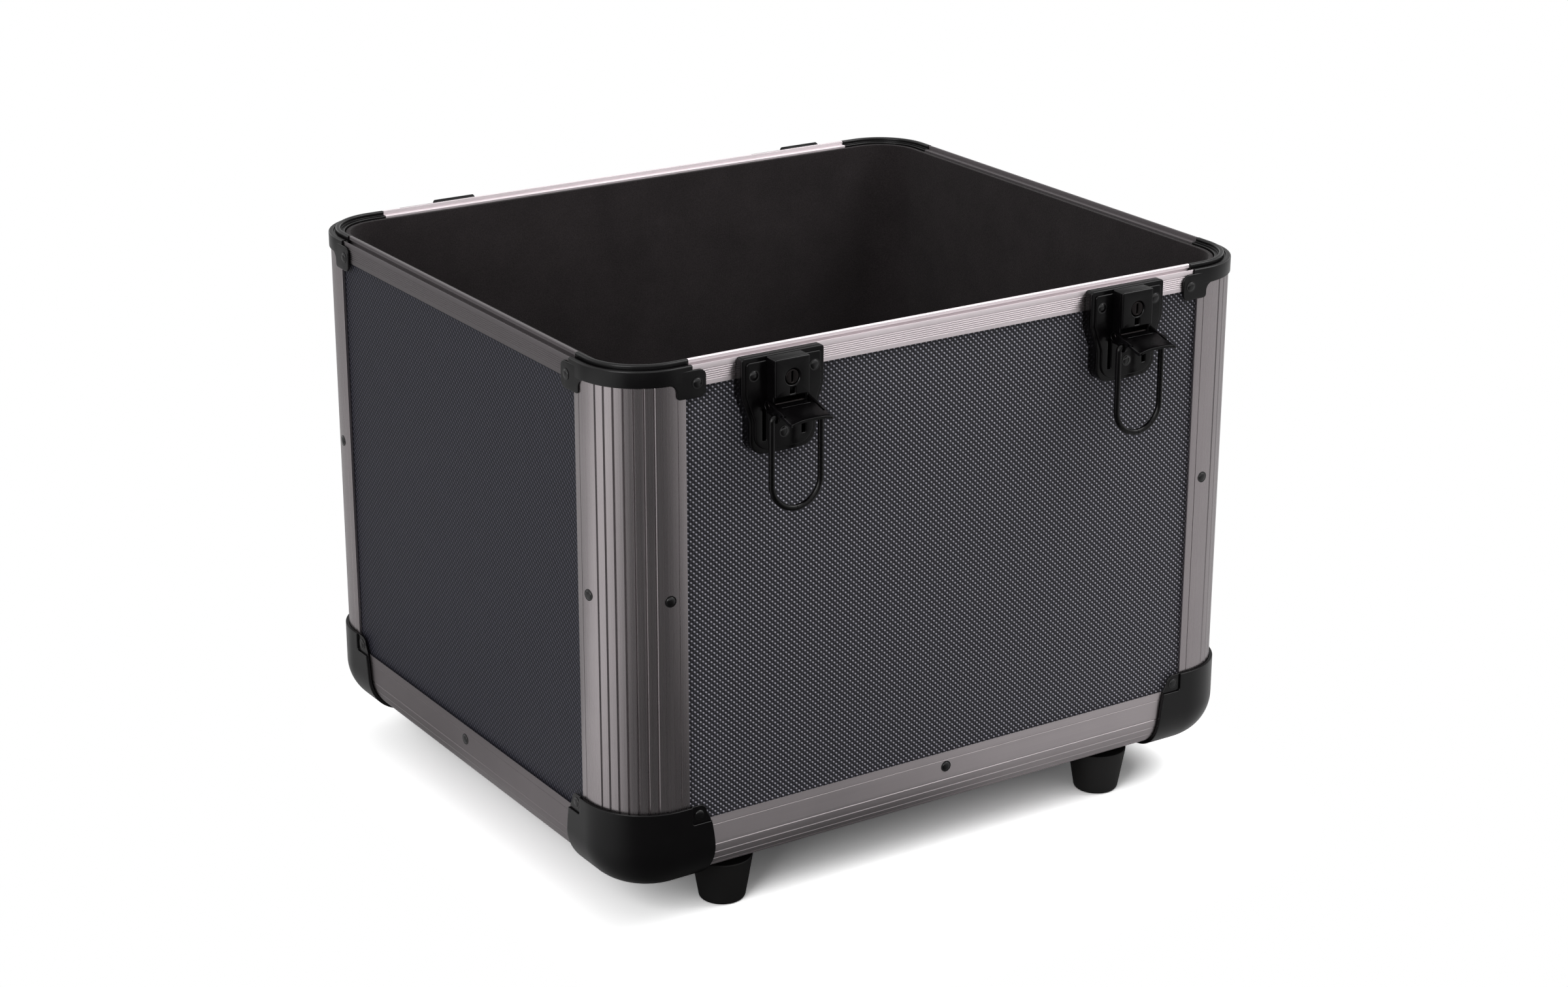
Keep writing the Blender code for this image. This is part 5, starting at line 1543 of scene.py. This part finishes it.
class CASE_OT_stage(bpy.types.Operator):
    """Pale floor, soft studio light and the camera"""

    bl_idname = "record_case.stage"
    bl_label = "Stage"

    def execute(self, context):
        settings = context.scene.stage_sizes
        floor = bpy.data.meshes.new("floor")
        far = 6.0
        square = [(-far, -far, 0), (far, -far, 0), (far, far, 0), (-far, far, 0)]
        floor.from_pydata(square, [], [(0, 1, 2, 3)])
        plane = bpy.data.objects.new("floor", floor)
        context.scene.collection.objects.link(plane)
        floor.materials.append(self.floor_finish())
        aim = Vector((0, 0, 0.15))
        for name, place, size, radiance in (
            ("key", (-1.9, -1.0, 1.1), (1.3, 1.5), settings.key),
            ("fill", (1.1, -0.56, 1.7), (1.1, 1.3), settings.fill),
            ("top", (0.2, 0.5, 2.4), (2.2, 2.2), settings.top),
        ):
            lamp = bpy.data.lights.new(name, "AREA")
            lamp.shape = "RECTANGLE"
            lamp.size = size[0]
            lamp.size_y = size[1]
            lamp.energy = radiance * math.pi * size[0] * size[1]
            light = bpy.data.objects.new(name, lamp)
            light.location = place
            light.rotation_euler = (aim - Vector(place)).to_track_quat("-Z", "Y").to_euler()
            context.scene.collection.objects.link(light)
        self.make_sky(context, settings.sky)
        camera = bpy.data.cameras.new("camera")
        camera.sensor_width = 36.0
        camera.lens = settings.focal
        camera.clip_start = 0.05
        view = bpy.data.objects.new("camera", camera)
        context.scene.collection.objects.link(view)
        view.matrix_world = (
            Matrix.Translation((settings.distance_x, settings.distance_y, settings.height))
            @ Matrix.Rotation(settings.turn, 4, "Z")
            @ Matrix.Rotation(QUARTER - settings.dip, 4, "X")
            @ Matrix.Rotation(settings.roll, 4, "Z")
        )
        context.scene.camera = view
        context.scene.view_settings.view_transform = "Standard"
        return {"FINISHED"}

    def seen(self, tree):
        """One where a ray from the camera, off gloss or through glass sees the surface."""
        path = tree.nodes.new("ShaderNodeLightPath").outputs
        top = {"operation": "MAXIMUM"}
        both = add_node(tree, "ShaderNodeMath", top, _0=path["Is Camera Ray"], _1=path["Is Glossy Ray"])
        return add_node(tree, "ShaderNodeMath", top, _0=both, _1=path["Is Transmission Ray"])

    def floor_finish(self):
        """Pale paper sweep: white to the eye, with the case's shadow on it.

        What lights the case and shows in its metal is a bright floor on its left, which is darkest towards
        the camera. To the eye the paper is lifted to white by its colour, so the lamps stay soft, and away
        from the case it is plain white, so that no edge of the light shows.
        """
        material = bpy.data.materials.new("White paper sweep")
        material.use_nodes = True
        tree = material.node_tree
        tree.nodes.clear()
        place = tree.nodes.new("ShaderNodeTexCoord").outputs["Object"]
        eye = tree.nodes.new("ShaderNodeLightPath").outputs["Is Camera Ray"]
        soft = {"interpolation_type": "SMOOTHSTEP"}
        add = {"operation": "MULTIPLY_ADD"}
        dot = {"operation": "DOT_PRODUCT"}
        power = {"operation": "POWER"}
        flat = add_node(tree, "ShaderNodeVectorMath", {"operation": "NORMALIZE"}, _0=place)
        level = 0.6
        full = 0.97
        to_left = (-0.99, -0.1, 0.0)
        to_camera = (-0.47, -0.88, 0.0)
        for way, start, share in ((to_left, 0.82, 0.45), (to_camera, 0.46, -0.5)):
            near = add_node(tree, "ShaderNodeVectorMath", dot, _0=flat, _1=way).outputs["Value"]
            rise = add_node(
                tree, "ShaderNodeMapRange", soft,
                Value=near, From_Min=start, From_Max=full, To_Min=0.0, To_Max=1.0,
            )
            level = add_node(tree, "ShaderNodeMath", add, _0=rise, _1=share, _2=level)
        dull = add_node(tree, "ShaderNodeCombineColor", Red=level, Green=level, Blue=level)
        bright = (2.5, 2.5, 2.5, 1.0)
        colour = add_node(tree, "ShaderNodeMix", {"data_type": "RGBA"}, Factor=eye, _6=dull, _7=bright)
        paper = add_node(tree, "ShaderNodeBsdfDiffuse", Color=colour.outputs[2])
        # How far a point lies from the case, by a rounded square about it that is one at its edge
        reach = (1 / 0.17, 1 / 0.19, 0.0)
        shift = (0.0, 0.05, 0.0)
        fitted = add_node(tree, "ShaderNodeVectorMath", add, _0=place, _1=reach, _2=shift)
        square = add_node(tree, "ShaderNodeVectorMath", power, _0=fitted, _1=(4.0, 4.0, 4.0))
        total = add_node(tree, "ShaderNodeVectorMath", dot, _0=square, _1=(1.0, 1.0, 0.0))
        away = add_node(tree, "ShaderNodeMath", power, _0=total.outputs["Value"], _1=0.25)
        far = add_node(
            tree, "ShaderNodeMapRange", soft,
            Value=away, From_Min=0.92, From_Max=1.3, To_Min=0.0, To_Max=1.0,
        )
        white = add_node(tree, "ShaderNodeMath", {"operation": "MULTIPLY"}, _0=far, _1=eye)
        glow = add_node(tree, "ShaderNodeEmission", Color=linear("#ffffff"))
        both = add_node(tree, "ShaderNodeMixShader", _0=white, _1=paper, _2=glow)
        add_node(tree, "ShaderNodeOutputMaterial", Surface=both)
        return material

    def make_sky(self, context, strength):
        """White to the eye and in reflections, and a softer light on the case."""
        world = bpy.data.worlds.new("sky")
        world.use_nodes = True
        tree = world.node_tree
        tree.nodes.clear()
        lit = add_node(tree, "ShaderNodeBackground", Color=linear("#ffffff"), Strength=strength)
        white = add_node(tree, "ShaderNodeBackground", Color=linear("#ffffff"), Strength=1.0)
        both = add_node(tree, "ShaderNodeMixShader", _0=self.seen(tree), _1=lit, _2=white)
        add_node(tree, "ShaderNodeOutputWorld", Surface=both)
        context.scene.world = world


class CASE_PT_panel(bpy.types.Panel):
    """Lists the pieces of the case"""

    bl_label = "Record carrying case"
    bl_idname = "CASE_PT_panel"
    bl_space_type = "VIEW_3D"
    bl_region_type = "UI"
    bl_category = "Record case"

    def draw(self, context):
        for group in GROUPS:
            settings = getattr(context.scene, group)
            box = self.layout.box()
            box.label(text=settings.bl_rna.description)
            for name in settings.__annotations__:
                box.prop(settings, name)
        for operator in OPERATORS:
            self.layout.operator(operator.bl_idname)


GROUPS = {
    "case_sizes": CaseSizes,
    "extrusion_sizes": ExtrusionSizes,
    "corner_sizes": CornerSizes,
    "latch_sizes": LatchSizes,
    "finishes": Finishes,
    "stage_sizes": StageSizes,
}
OPERATORS = (
    CASE_OT_posts,
    CASE_OT_rims,
    CASE_OT_panels,
    CASE_OT_linings,
    CASE_OT_top_corners,
    CASE_OT_bottom_corners,
    CASE_OT_feet,
    CASE_OT_latch_plates,
    CASE_OT_levers,
    CASE_OT_bails,
    CASE_OT_hinges,
    CASE_OT_rivets,
    CASE_OT_stage,
)


def register():
    """Make the settings, the operators and the panel known."""
    for name, group in GROUPS.items():
        bpy.utils.register_class(group)
        setattr(bpy.types.Scene, name, bpy.props.PointerProperty(type=group))
    for operator in OPERATORS:
        bpy.utils.register_class(operator)
    bpy.utils.register_class(CASE_PT_panel)


def unregister():
    """Take them all out again."""
    bpy.utils.unregister_class(CASE_PT_panel)
    for operator in reversed(OPERATORS):
        bpy.utils.unregister_class(operator)
    for name, group in reversed(GROUPS.items()):
        delattr(bpy.types.Scene, name)
        bpy.utils.unregister_class(group)


def main():
    """Make every piece in order."""
    register()
    for operator in OPERATORS:
        group, name = operator.bl_idname.split(".")
        getattr(getattr(bpy.ops, group), name)()


if __name__ == "__main__":
    main()
